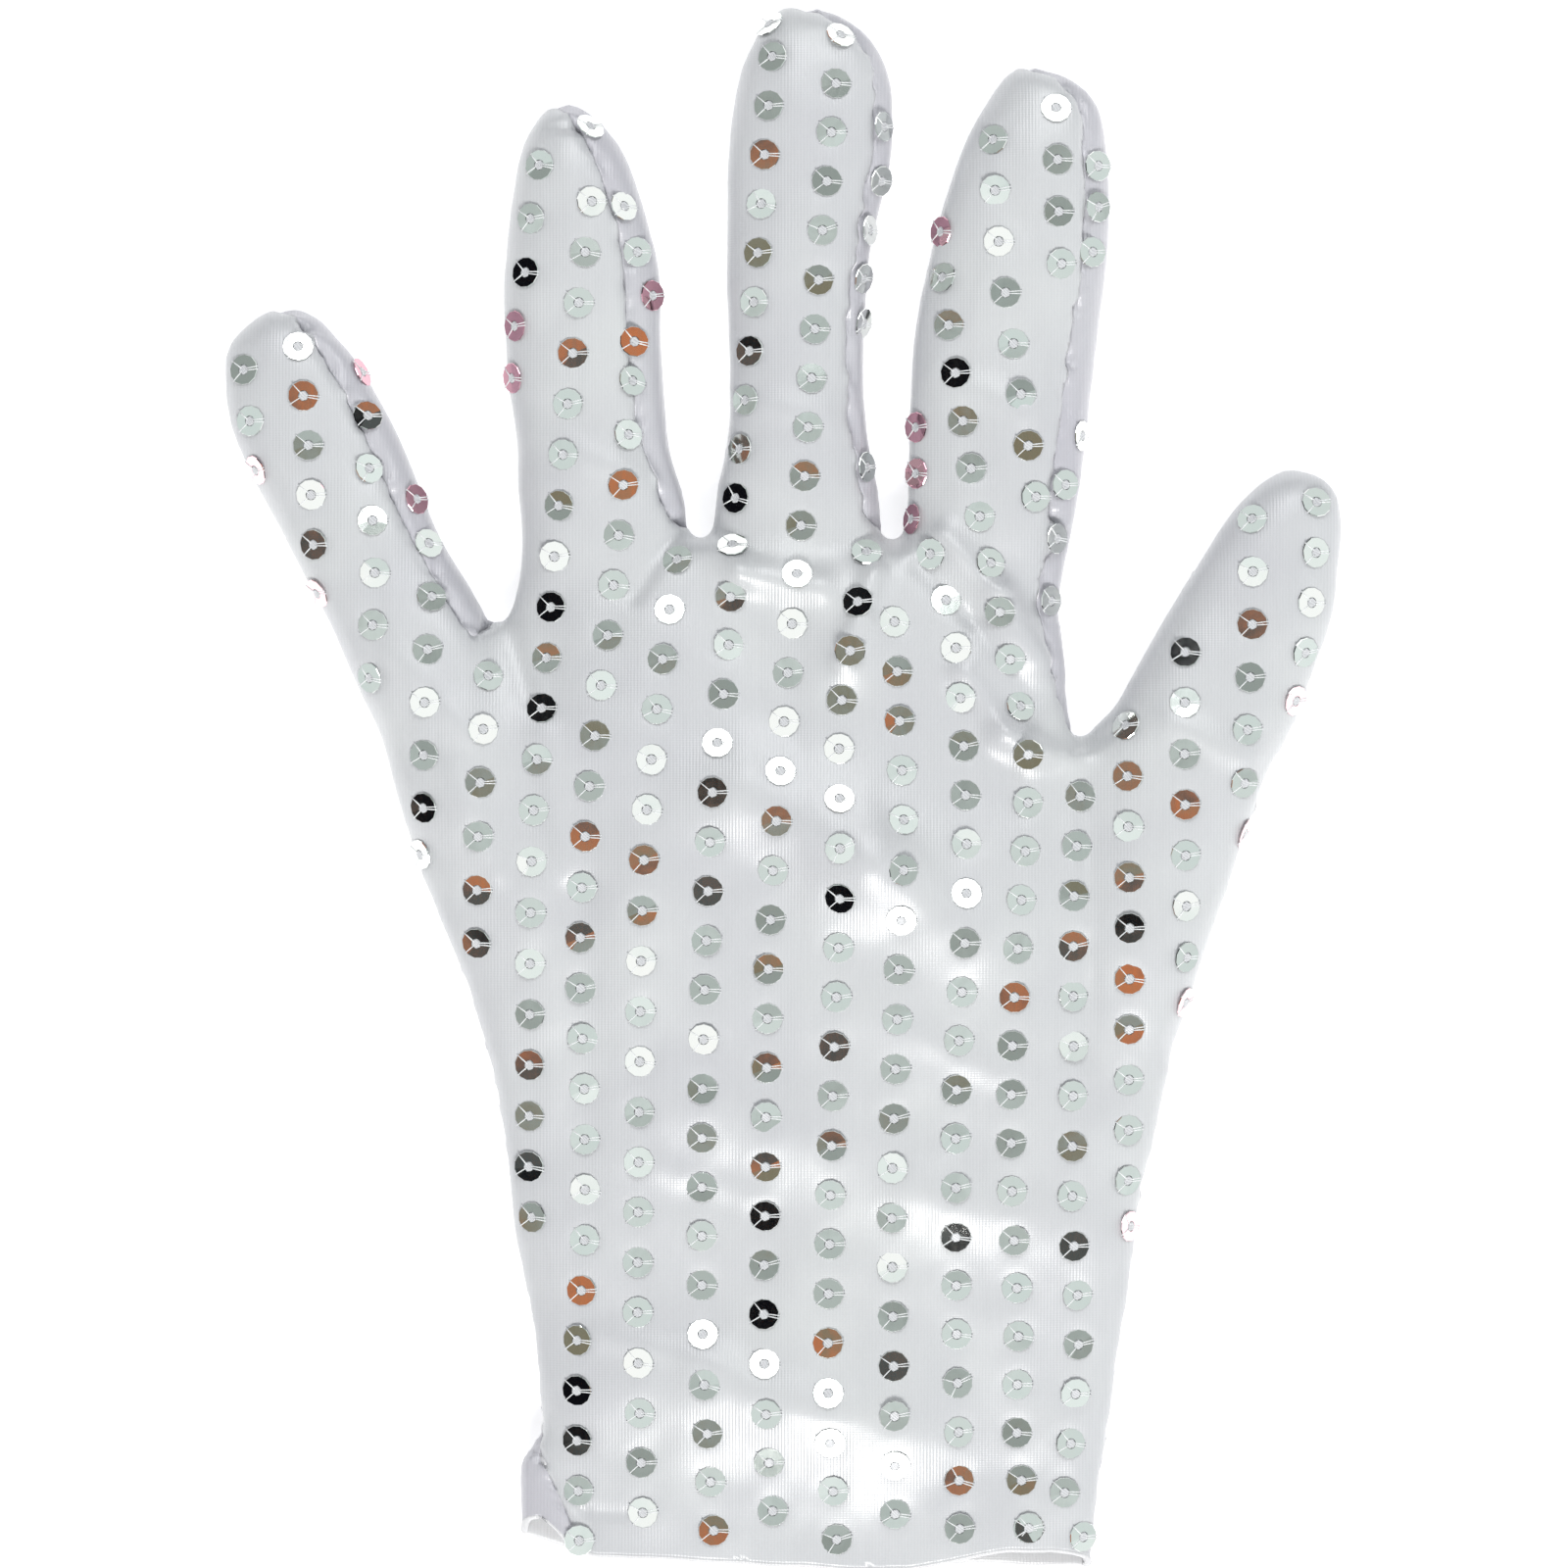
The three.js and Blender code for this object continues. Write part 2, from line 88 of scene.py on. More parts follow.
SEQUIN_RADIUS = 2.48
SEQUIN_HOLE = 0.92  # its radius
SEQUIN_FACETS = 12
FILM_THICKNESS = 0.12
RIM_SLANT = 0.08
STRAND_ANGLES = (10, 150, 230)  # degrees, where the strands cross the film and press it down
STRANDS = ((10, -0.24), (10, 0.24), (150, 0), (230, 0))  # degrees, and how far aside at the rim
STRAND_WIDTH = 0.16
STRAND_START = 0.4  # inner end, as a part of the hole's radius
STRAND_CLOSING = 0.6  # how far aside the inner end is, as a part of the outer end's
STRAND_OVERHANG = 0.12
STRAND_LIFT = 0.06
STRAND_DROP = 0.12
KNOT_SIDES = 6
KNOT_HEIGHT = 0.24
KNOT_FOOT = 0.94  # radius, as a part of the hole's
KNOT_TOP = 0.78
SEAT_RADIUS = 2.2
SEAT_SAMPLES = 8
SEAT_CLEARANCE = 0.06
TURN = (-10, 7)  # degrees, the usual turn of a sequin and its spread
LEAN = 0.055  # spread of the slope of a sequin
BEND = 0.004  # spread of the slope of one strand against its sequin
LEAN_LIFT = 0.5  # part of the lean by which a sequin is lifted off the cloth
DIMPLE_RADIUS = 3.2
DIMPLE_DEPTH = 0.22
RAY_HEIGHT = 60
PATH_STEPS = 24
EDGE_SEED = 100
UNDERSIDE_SEED = 200

# The stage, in metres.
FLOOR_HALF = 2.5
CAMERA_HEIGHT = 1.2
MIDDLE_HEIGHT = 0.008  # middle height of the glove, where the camera shows FRAME_WIDTH
FRAME_WIDTH = 0.2512
SENSOR_WIDTH = 36  # the camera's, in millimetres

# Lights: name, place, size, watts and colour.
LIGHTS = (
    ("key", (0.2, -2.1, 2.35), (1.4, 0.9), 80, (1.0, 0.99, 0.98)),
    ("fill", (0.2, 1.3, 1.6), (1.2, 1.2), 16, (0.97, 0.985, 1.0)),
)

# Each part of the hand: sections from its tip to its base, with y, left edge, right edge, top
# height and fullness. under is the height of the left seam as a part of the top height, strip how
# far in from the right edge the seam shows on top, and left_strip the same from the left edge.
HAND = {
    "palm": {
        "under": ((40, 0.3), (10, EQUATOR)),
        "strip": ((40, 9), (34, 5.5), (28, 3.8), (20, 2.6), (12, 0.8), (6, 0)),
        "left_strip": ((-104, 0), (-109, 1.4), (-113, 3.5), (-120, 7.5), (-124, 9)),
        "sections": (
            (38.6, -40.5, 43.0, 13.5, 0.55),
            (36.6, -42.4, 45.0, 14.5, 0.9),
            (30, -43.0, 44.6, 15.5, 1),
            (20, -49.0, 45.0, 16.7, 1),
            (6, -59.0, 47.2, 17.8, 1),
            (-9, -59.8, 54.0, 18.4, 1),
            (-20, -56.0, 57.5, 18.6, 1),
            (-34, -50.4, 61.0, 18.2, 1),
            (-44, -47.0, 62.2, 17.6, 1),
            (-56, -45.5, 59.8, 17, 1),
            (-70, -43.7, 56.9, 16, 1),
            (-86, -41.0, 55.0, 14.8, 1),
            (-103, -39.3, 52.3, 13.6, 1),
            (-112, -42.0, 50.8, 13, 1),
            (CUFF_Y, -42.3, 49.6, 12.5, 1),
            (CUFF_Y - CUFF_OVERRUN, -42.3, 49.6, 12.5, 1),
        ),
    },
    "pinky": {
        "under": ((25, 0.25), (-5, EQUATOR)),
        "strip": ((76, 3), (66, 4.5), (25, 4)),
        "sections": (
            (76.6, -81.6, -78.6, 12.4, 0.2),
            (74.8, -84.4, -74.6, 12.4, 0.65),
            (71.5, -88.0, -71.4, 12.6, 0.9),
            (67, -89.65, -67.8, 12.8, 1),
            (56, -88.2, -62.3, 13.2, 1),
            (40, -80.3, -55.2, 14, 1),
            (26, -73.1, -47.0, 15, 1),
            (8, -65.1, -38.0, 15.8, 1),
            (-9, -59.9, -32.0, 15.6, 1),
            (-24, -52.0, -34.0, 13, 0.7),
        ),
    },
    "ring": {
        "under": ((125, 0.25),),
        "strip": ((109, 3), (100, 5.2), (60, 4.6), (42, 2.4)),
        "sections": (
            (109.3, -37.6, -34.2, 12.6, 0.2),
            (107.2, -39.4, -30.9, 12.6, 0.65),
            (103, -42.0, -26.8, 12.8, 0.9),
            (97, -43.2, -23.7, 13, 1),
            (85, -44.5, -20.5, 13.4, 1),
            (72, -44.9, -19.8, 13.6, 1),
            (56, -43.0, -18.6, 13.8, 1),
            (43, -42.6, -15.6, 14.2, 1),
            (28, -41.0, -14.0, 14, 0.8),
        ),
    },
    "middle": {
        "under": ((125, 0.25),),
        "strip": ((122, 1.5), (110, 2.4), (42, 2.2)),
        "sections": (
            (125, 0.2, 4.6, 12.8, 0.2),
            (122.8, -2.9, 10.2, 12.8, 0.65),
            (119, -5.0, 14.4, 13, 0.9),
            (112, -7.6, 17.2, 13.2, 1),
            (100, -8.9, 16.9, 13.6, 1),
            (80, -9.0, 13.4, 13.8, 1),
            (58, -9.0, 13.2, 14, 1),
            (44, -11.2, 15.3, 14.4, 1),
            (28, -12.0, 16.0, 14, 0.8),
        ),
    },
    "index": {
        "under": ((125, 0.25),),
        "strip": ((114, 1.5), (100, 3.8), (60, 4.4), (40, 4.2), (18, 3.8)),
        "sections": (
            (115.2, 37.2, 41.4, 12.6, 0.2),
            (113, 35.0, 46.2, 12.6, 0.65),
            (109, 32.6, 50.2, 12.8, 0.9),
            (102, 28.8, 51.7, 13, 1),
            (90, 24.5, 52.5, 13.4, 1),
            (76, 21.4, 51.1, 13.8, 1),
            (58, 20.1, 48.8, 14, 1),
            (44, 19.8, 46.9, 14.4, 1),
            (28, 18.0, 43.8, 14, 0.8),
        ),
    },
    "thumb": {
        "under": ((20, 0.3), (0, EQUATOR)),
        "strip": ((50, 0),),
        "sections": (
            (50.4, 79.6, 83.4, 12.4, 0.2),
            (48.2, 76.4, 87.4, 12.4, 0.65),
            (44, 72.1, 89.2, 12.6, 0.92),
            (37, 67.4, 89.65, 12.8, 1),
            (25, 60.2, 87.3, 13.4, 1),
            (12, 52.0, 82.8, 14.2, 1),
            (0, 41.0, 77.0, 15, 1),
            (-14, 34.0, 72.3, 15.6, 1),
            (-32, 34.0, 66.3, 15.8, 1),
            (-52, 38.0, 58.0, 13.5, 0.8),
        ),
    },
}

# Soft folds of the upper cloth: start x, start y, end x, end y, height, half width.
FOLDS = (
    (-41, 24, -33, -18, -1.7, 5),
    (-33, -18, -31, -50, -1.5, 5),
    (-12, 38, 9.5, 31, 1.3, 4.5),
    (17, 36, 10.5, 19, 1.5, 4.5),
    (21, 38, 36, 21, 2.3, 5),
    (36, 21, 45, 2, 2.0, 5),
    (49, 4, 49.5, -48, -1.7, 4.5),
    (-6, -1, 14, -12, 3.2, 8),
    (14, -12, 30, -24, 2.2, 7),
    (-36, -60, 0, -66, -0.9, 7),
    (22, -65, 56, -77, 2.0, 5.5),
    (-12, -95, 26, -106, 1.25, 5),
    (-32, -95, 14, -101, 2.3, 11),
    (-5, 24, 0, -40, -1.2, 8),
    (-12, -70, -10, -84, -1.0, 9),
)

# Sharper creases and small hollows of the upper cloth, in the same columns.
CREASES = (
    (21.8, 35.0, 30.2, 26.6, -1.1, 2.0),
    (30.2, 26.6, 40.0, 14.0, -1.1, 2.2),
    (25.5, 39.0, 34.0, 30.0, 2.1, 2.6),
    (34.0, 30.0, 40.0, 20.0, 1.9, 2.8),
    (28.8, 17.6, 35.0, 7.9, 1.8, 2.6),
    (35.0, 7.9, 39.4, 4.9, 1.8, 2.6),
    (39.4, 4.9, 46.0, 4.0, 1.6, 2.4),
    (46.0, -8.0, 47.5, -22.0, 0.7, 2.6),
    (-38.0, 8.0, -34.0, -14.0, 0.7, 2.6),
    (-52.0, 2.0, -46.0, -14.0, 0.6, 2.4),
    (-62.0, 20.0, -50.0, 8.0, 0.6, 2.6),
    (62.0, 10.0, 74.0, 4.0, 0.7, 2.6),
    (-40.0, 56.0, -26.0, 50.0, 0.6, 2.6),
    (-8.0, 62.0, 6.0, 58.0, 0.6, 2.6),
    (24.0, 66.0, 38.0, 60.0, 0.6, 2.6),
    (46.4, 5.4, 51.9, 8.6, -0.9, 1.3),
    (48.0, 2.0, 48.8, -44.0, -0.5, 1.6),
    (-12.6, 38.8, -6.9, 33.5, 1.2, 2.2),
    (-6.9, 33.5, 5.4, 31.3, 1.4, 2.6),
    (14.7, 33.5, 9.6, 19.4, 1.5, 2.0),
    (17.7, 38.0, 15.0, 28.0, -0.7, 1.7),
    (-35.2, -116.9, -31.8, -118.0, -0.4, 0.7),
    (-31.8, -118.0, -24.6, -117.8, -0.35, 0.7),
    (-38.2, 105.0, -33.0, 104.8, -0.6, 0.8),
    (-17.0, 41.0, -24.0, 30.0, -0.8, 1.7),
    (-44.0, 26.0, -41.0, 14.0, -0.8, 1.7),
    (-30.0, -88.0, -10.0, -92.0, 0.5, 2.2),
    (-24.0, -60.0, -4.0, -66.0, 0.5, 2.4),
    (18.0, -38.0, 34.0, -46.0, 0.45, 2.6),
)

# Where fingers and thumb grow out of the palm, in softer curves: x from and to, y from and to.
JUNCTIONS = (
    (-50, 49, 26, 47),
    (-62, -34, -14, 30),
    (40, 62, -46, 16),
)

# How the cuff's edge is pulled up: height, x where the pull starts, way in x to its full height,
# power of its curve, and whether it pulls only the upper cloth.
CUFF_PULLS = (
    (1.9, 10, -32, 1, False),
    (3.6, -28, -14, 2, False),
    (5, -30, -9, 1.6, True),
    (2.8, 20, 16, 1, True),
)
CUFF_PULL_Y = -100
UPPER_CLOTH = (6, 10)  # z from which cloth starts to count as upper, and from which it is

# Sequin rows of the front: name, number, then the path of the row from the fingertip down.
ROWS = (
    ("pinky_left", 2, ((-86.2, 66.2), (-85.2, 58))),
    ("pinky_middle", 5, ((-77.6, 69.8), (-75.9, 54.2), (-75.0, 38.2))),
    ("pinky_right", 5, ((-66.3, 50.3), (-65.2, 33.7), (-66.0, 17))),
    ("pinky_base", 5, ((-56.3, 29.8), (-57.1, 13.6), (-57.4, -3.8))),
    ("palm_edge", 6, ((-47.3, 17.2), (-48.4, 0.5), (-49.0, -25.4))),
    ("ring_left", 3, ((-39.0, 98.8), (-40.3, 90.5), (-41.2, 81.7))),
    ("ring_middle", 21, ((-30.7, 92.9), (-33.7, 68.2), (-35.9, 44), (-37.4, 25), (-39.8, -4),
                         (-40.4, -28.7), (-40.6, -61.3), (-40.2, -69.2))),
    ("ring_right", 23, ((-25, 55.7), (-27.2, 31.2), (-30.9, -0.5), (-32.4, -24.4),
                        (-31.8, -48.6), (-31.8, -73.2), (-33, -92), (-32.7, -121))),
    ("ring_inner", 20, ((-17, 35.7), (-19.5, 18.4), (-21.9, -6), (-22.7, -28.8), (-23, -52.8),
                        (-23.3, -85), (-22.5, -116.3))),
    ("middle_left", 31, ((-1.8, 116.1), (-3.1, 99.1), (-4.9, 74.7), (-7.8, 43.7), (-8.9, 21.4),
                         (-11.4, -2.9), (-12.8, -41), (-13.1, -72), (-12.8, -92),
                         (-11.2, -119.1))),
    ("middle_right", 31, ((9, 119.6), (6.7, 94.9), (5.3, 78.3), (2.6, 40), (0, 10), (-2.3, -25),
                          (-2.9, -60), (-3.1, -93), (-1.8, -115.9))),
    ("middle_edge", 21, ((13.1, 36.7), (10.4, 20.6), (8.8, 8), (8.9, -18), (7.9, -45),
                         (7.3, -70), (7, -96.6), (8.4, -120.5))),
    ("index_edge", 19, ((17.5, 25.8), (18.9, -6), (18, -37.1), (17.2, -65), (17.5, -97),
                        (17.7, -116.4))),
    ("index_inner", 21, ((23.5, 36.7), (27.4, 21.4), (28.8, 0), (28.8, -22), (27.4, -50),
                         (27.4, -80), (28, -118.9))),
    ("index_left", 27, ((25.4, 80.9), (27.6, 64.1), (31.6, 40.4), (37, 15), (38.9, 0),
                        (36.5, -35), (36.2, -62.9), (37.3, -85), (37.2, -104), (39, -118.9))),
    ("index_middle", 8, ((33.4, 102.9), (34.3, 86.1), (36.7, 69.3), (40, 45.8))),
    ("index_right", 4, ((43.4, 107.9), (43.8, 91), (44.2, 83))),
    ("thumb_side", 15, ((47.2, -2), (46.1, -18.6), (46, -44), (45.9, -68), (47, -86),
                        (46.3, -100), (44.8, -113.3))),
    ("thumb_base", 10, ((54.6, 9.3), (55, -14), (55, -39), (54.8, -63.3))),
    ("thumb_left", 7, ((64.1, 21), (63.8, 4.3), (64.1, -27.6))),
    ("thumb_middle", 6, ((74.8, 42.3), (74.7, 25.5), (73.3, 0.2))),
    ("thumb_right", 4, ((85, 45), (84.7, 34), (83.2, 21))),
)

# Sequins that show at the edges and on the back panel's strip: name, then x, y of each.
EDGE_SEQUINS = (
    ("pinky_edge", ((-84.4, 50.2), (-74.5, 30.5), (-58.0, -11.2))),
    ("pinky_strip", ((-67.7, 65.9), (-66.6, 58.8), (-58.8, 45.5), (-56.9, 38.4))),
    ("ring_edge", ((-42.9, 73.2), (-43.4, 64.9))),
    ("ring_strip", ((-31.0, 105.1), (-25.7, 92.2), (-23.5, 85.0), (-21.1, 78.1), (-24.3, 70.6),
                    (-24.3, 64.3))),
    ("middle_tip", ((-2.3, 121.6), (15.0, 117.7))),
    ("middle_strip", ((15.8, 105.1), (15.5, 96.5), (13.4, 88.6), (12.6, 80.8), (12.6, 73.7),
                      (13.0, 50.6))),
    ("index_edge_left", ((25.2, 88.3), (21.2, 57.0), (21.2, 49.6), (20.6, 42.3))),
    ("index_strip", ((50.0, 98.8), (50.0, 92.2), (49.2, 85.0), (47.6, 55.7), (44.8, 47.8),
                     (43.3, 39.2), (42.5, 29.3))),
    ("thumb_edge", ((81.7, 13.3), (73.6, -7.9), (64.0, -34.9), (55.3, -70.7))),
    ("cuff_edge", ((47.8, -120.5), (39.2, -118.9))),
)

# Places of the edge sequins whose silver film is painted rose, and of those painted a pale blush:
# both are painted reflections.
ROSE_REFLECTION_SEQUINS = ((-43.4, 64.9), (-42.9, 73.2), (25.2, 88.3), (21.2, 57.0), (21.2, 49.6),
                (20.6, 42.3), (-21.1, 78.1), (-67.7, 65.9), (-58.8, 45.5))
BLUSH_REFLECTION_SEQUINS = ((-84.4, 50.2), (-74.5, 30.5), (81.7, 13.3), (73.6, -7.9), (64.0, -34.9),
                 (55.3, -70.7))


def clamp01(value):
    return min(1, max(0, value))


def table_at(table, y):
    """Value of a (y, value) table at y. The table runs from high y to low y."""
    if y >= table[0][0]:
        return table[0][1]
    for (upper_y, upper), (lower_y, lower) in zip(table, table[1:]):
        if y >= lower_y:
            return upper + (lower - upper) * (upper_y - y) / (upper_y - lower_y)
    return table[-1][1]


def smooth_row(rows, index, share):
    """Row between rows[index] and the next, on a Catmull-Rom curve through the rows."""
    last = len(rows) - 1
    near = [rows[min(max(index + step, 0), last)] for step in (-1, 0, 1, 2)]
    made = []
    for before, start, end, after in zip(*near):
        linear = end - before
        square = 2 * before - 5 * start + 4 * end - after
        cube = 3 * start - before - 3 * end + after
        made.append(0.5 * (2 * start + linear * share + square * share ** 2 + cube * share ** 3))
    return made


def smooth_rows(rows, step):
    """Rows at about one step apart along their first column."""
    made = []
    for index in range(len(rows) - 1):
        count = math.ceil(abs(rows[index][0] - rows[index + 1][0]) / step)
        made += [smooth_row(rows, index, part / count) for part in range(count)]
    made.append(list(rows[-1]))
    return made


def ridge_height(lines, x, y):
    """Height that a table of folds or creases adds to the cloth at a point."""
    height = 0
    for start_x, start_y, end_x, end_y, rise, half_width in lines:
        run_x = end_x - start_x
        run_y = end_y - start_y
        length = math.hypot(run_x, run_y)
        along = ((x - start_x) * run_x + (y - start_y) * run_y) / length
        across = ((x - start_x) * run_y - (y - start_y) * run_x) / length
        past = max(0, -along, along - length)
        height += rise * math.exp(-((across / half_width) ** 2) - (past / half_width) ** 2)
    return height


def cuff_lift(point):
    """The cuff's edge isn't square: its corners are pulled up, more so on the front."""
    near_cuff = clamp01((CUFF_PULL_Y - point.y) / (CUFF_PULL_Y - CUFF_Y))
    starts, full = UPPER_CLOTH
    on_top = clamp01((point.z - starts) / (full - starts))
    wave_length, wave_height = CUFF_WAVES
    other_layer = 3
    lift = wave_height * noise.noise(Vector((point.x / wave_length, 0, other_layer)))
    for rise, start, way, power, only_upper in CUFF_PULLS:
        pull = rise * clamp01((point.x - start) / way) ** power
        lift += pull * on_top if only_upper else pull
    return near_cuff * lift


def section_ring(section):
    """Points round one section of the hand, over the top first."""
    y, left, right, top, roundness = section
    middle = (left + right) / 2
    half_width = (right - left) / 2
    equator = top * EQUATOR
    ring = []
    for step in range(RING_POINTS):
        angle = 2 * math.pi * step / RING_POINTS
        x = middle + half_width * math.cos(angle)
        swell = abs(math.sin(angle)) ** ROUNDNESS
        if angle <= math.pi:
            fold = ridge_height(FOLDS, x, y) * swell ** 2
            z = equator + ((top - equator) * swell + fold) * roundness
        else:
            z = equator - equator * roundness * min(1, BOTTOM_FLATNESS * swell)
        ring.append(Vector((x, y, z)))
    return ring


def add_tube(bm, rings):
    """Closed tube through rings that all have the same number of points."""
    around = len(rings[0])
    along = len(rings) - 1
    grid = bmesh.ops.create_grid(bm, x_segments=around, y_segments=along, size=0.5)["verts"]
    for vert in grid:
        column = round((vert.co.x + 0.5) * around) % around
        row = round((vert.co.y + 0.5) * along)
        vert.co = rings[row][column]
    bmesh.ops.remove_doubles(bm, verts=grid, dist=SAME_PLACE)
    open_edges = [edge for edge in bm.edges if edge.is_boundary]
    bmesh.ops.holes_fill(bm, edges=open_edges, sides=0)


def remeshed(bm):
    """The outside of overlapping closed tubes, as one even mesh."""
    mesh = bpy.data.meshes.new("hand_form")
    bm.to_mesh(mesh)
    bm.free()
    form = bpy.data.objects.new("hand_form", mesh)
    bpy.context.scene.collection.objects.link(form)
    voxels = form.modifiers.new("voxels", "REMESH")
    voxels.mode = "VOXEL"
    voxels.voxel_size = VOXEL
    even = bmesh.new()
    even.from_object(form, bpy.context.evaluated_depsgraph_get())
    bpy.data.objects.remove(form)
    bpy.data.meshes.remove(mesh)
    return even


def in_junction(point):
    """True where fingers and thumb grow out of the palm."""
    return any(
        left < point.x < right and low < point.y < high for left, right, low, high in JUNCTIONS
    )


def smooth(bm, verts, passes):
    for _ in range(passes):
        bmesh.ops.smooth_vert(
            bm, verts=verts, factor=0.5, use_axis_x=True, use_axis_y=True, use_axis_z=True
        )


def hand_form():
    """The glove's outside before its seams, wrinkles and hem."""
    bm = bmesh.new()
    for part in HAND.values():
        rings = [section_ring(section) for section in smooth_rows(part["sections"], RING_STEP)]
        add_tube(bm, rings)
    bmesh.ops.recalc_face_normals(bm, faces=bm.faces)
    bm = remeshed(bm)
    everything = bm.verts[:] + bm.edges[:] + bm.faces[:]
    bmesh.ops.bisect_plane(
        bm, geom=everything, dist=SAME_PLACE, plane_co=(0, CUFF_Y, 0), plane_no=(0, -1, 0),
        clear_outer=True,
    )
    inner = [vert for vert in bm.verts if not vert.is_boundary]
    smooth(bm, inner, FORM_PASSES)
    smooth(bm, [vert for vert in inner if in_junction(vert.co)], JUNCTION_PASSES)
    return bm


def seam_parts():
    """What the seam needs of each part of the hand: its seam tables and its finer sections."""
    no_strip = ((0, 0),)
    return [
        (
            part["under"], part["strip"], part.get("left_strip", no_strip),
            smooth_rows(part["sections"], RING_STEP),
        )
        for part in HAND.values()
    ]


def section_at(rows, y):
    """Section of a part at y, by halving its table, which runs from high y to low y."""
    low, high = 0, len(rows) - 1
    while high - low > 1:
        middle = (low + high) // 2
        if rows[middle][0] >= y:
            low = middle
        else:
            high = middle
    upper, lower = rows[low], rows[high]
    share = clamp01((upper[0] - y) / (upper[0] - lower[0]))
    return [a + (b - a) * share for a, b in zip(upper, lower)]


def top_at(section, x):
    """Height of a section's upper cloth at x."""
    _, left, right, top, roundness = section
    inward = (2 * x - left - right) / (right - left)
    swell = math.sqrt(clamp01(1 - inward ** 2)) ** ROUNDNESS
    return top * (EQUATOR + (1 - EQUATOR) * swell * roundness)


def above_seam(point, parts):
    """How far a point lies above the seam that runs round the hand. Negative is below it."""
    best = -GLOVE_TOP
    for under, strip, left_strip, rows in parts:
        if not rows[-1][0] <= point.y <= rows[0][0] + SEAM_TIP_MARGIN:
            continue
        section = section_at(rows, point.y)
        _, left, right, top, _ = section
        if not left - SEAM_OVERHANG <= point.x <= right + SEAM_OVERHANG:
            continue
        right_x = right - min(table_at(strip, point.y), (right - left) / 2)
        left_x = left + table_at(left_strip, point.y)
        left_height = top_at(section, left_x) - top * (EQUATOR - table_at(under, point.y))
        slope = (top_at(section, right_x) - left_height) / (right_x - left_x)
        best = max(best, point.z - left_height - slope * (point.x - left_x))
    return best


def cut_along_seam(bm):
    """Cuts the faces that the seam crosses, and marks which faces are the front's."""
    front_layer = bm.faces.layers.int.new("front")
    parts = seam_parts()
    height = {vert: above_seam(vert.co, parts) for vert in bm.verts}
    crossed = [edge for edge in bm.edges if height[edge.verts[0]] * height[edge.verts[1]] < 0]
    cuts = []
    for edge in crossed:
        start, end = edge.verts
        share = height[start] / (height[start] - height[end])
        share = min(1 - CUT_MARGIN, max(CUT_MARGIN, share))
        cuts.append(bmesh.utils.edge_split(edge, start, share)[1])
    bmesh.ops.connect_verts(bm, verts=cuts)
    height.update((vert, 0) for vert in cuts)
    for face in bm.faces:
        face[front_layer] = 1 if sum(height[vert] for vert in face.verts) > 0 else 0
    return front_layer


def seam_edges(bm, front_layer):
    return [
        edge for edge in bm.edges
        if len(edge.link_faces) == 2
        and edge.link_faces[0][front_layer] != edge.link_faces[1][front_layer]
    ]


def relax_seam(edges, passes):
    """Takes the small steps out of the seam, and lets it lie on the cloth as before."""
    beside = {}
    for edge in edges:
        start, end = edge.verts
        beside.setdefault(start, []).append(end)
        beside.setdefault(end, []).append(start)
    for _ in range(passes):
        moved = {}
        for vert, ends in beside.items():
            if len(ends) == 2:
                moved[vert] = vert.co * 0.5 + (ends[0].co + ends[1].co) * 0.25
        for vert, place in moved.items():
            vert.co = place


def even_beside(bm, edges, passes):
    """Evens the cloth next to the seam, which stays."""
    on_seam = {vert for edge in edges for vert in edge.verts}
    tree = distance_tree([vert.co for vert in on_seam])
    beside = [
        vert for vert in bm.verts
        if vert not in on_seam and not vert.is_boundary and tree.find(vert.co)[2] < SEAM_EVENING
    ]
    smooth(bm, beside, passes)


def wrinkle(point):
    """Fine unevenness of the limp cloth, in the direction of its face."""
    broad_size, broad_height = BROAD_WRINKLES
    fine_size, fine_height = FINE_WRINKLES
    drawn_width, drawn_length, drawn_height = DRAWN_WRINKLES
    other_place = Vector((40, 0, 0))
    other_layer = 7
    broad = noise.noise(point / broad_size) * broad_height
    fine = noise.noise(point / fine_size + other_place) * fine_height
    drawn_at = Vector((point.x / drawn_width, point.y / drawn_length, other_layer))
    return broad + fine + noise.noise(drawn_at) * drawn_height


def distance_tree(points):
    tree = KDTree(len(points))
    for index, point in enumerate(points):
        tree.insert(point, index)
    tree.balance()
    return tree


def seam_press(point, distance, on_front):
    """How far the cloth is drawn in at a distance from the seam, with small gathers."""
    depth, width = FRONT_PRESS if on_front else STRIP_PRESS
    pucker = 1 + PUCKER * noise.noise(point / PUCKER_SIZE)
    return depth * pucker * math.exp(-((distance / width) ** 2))


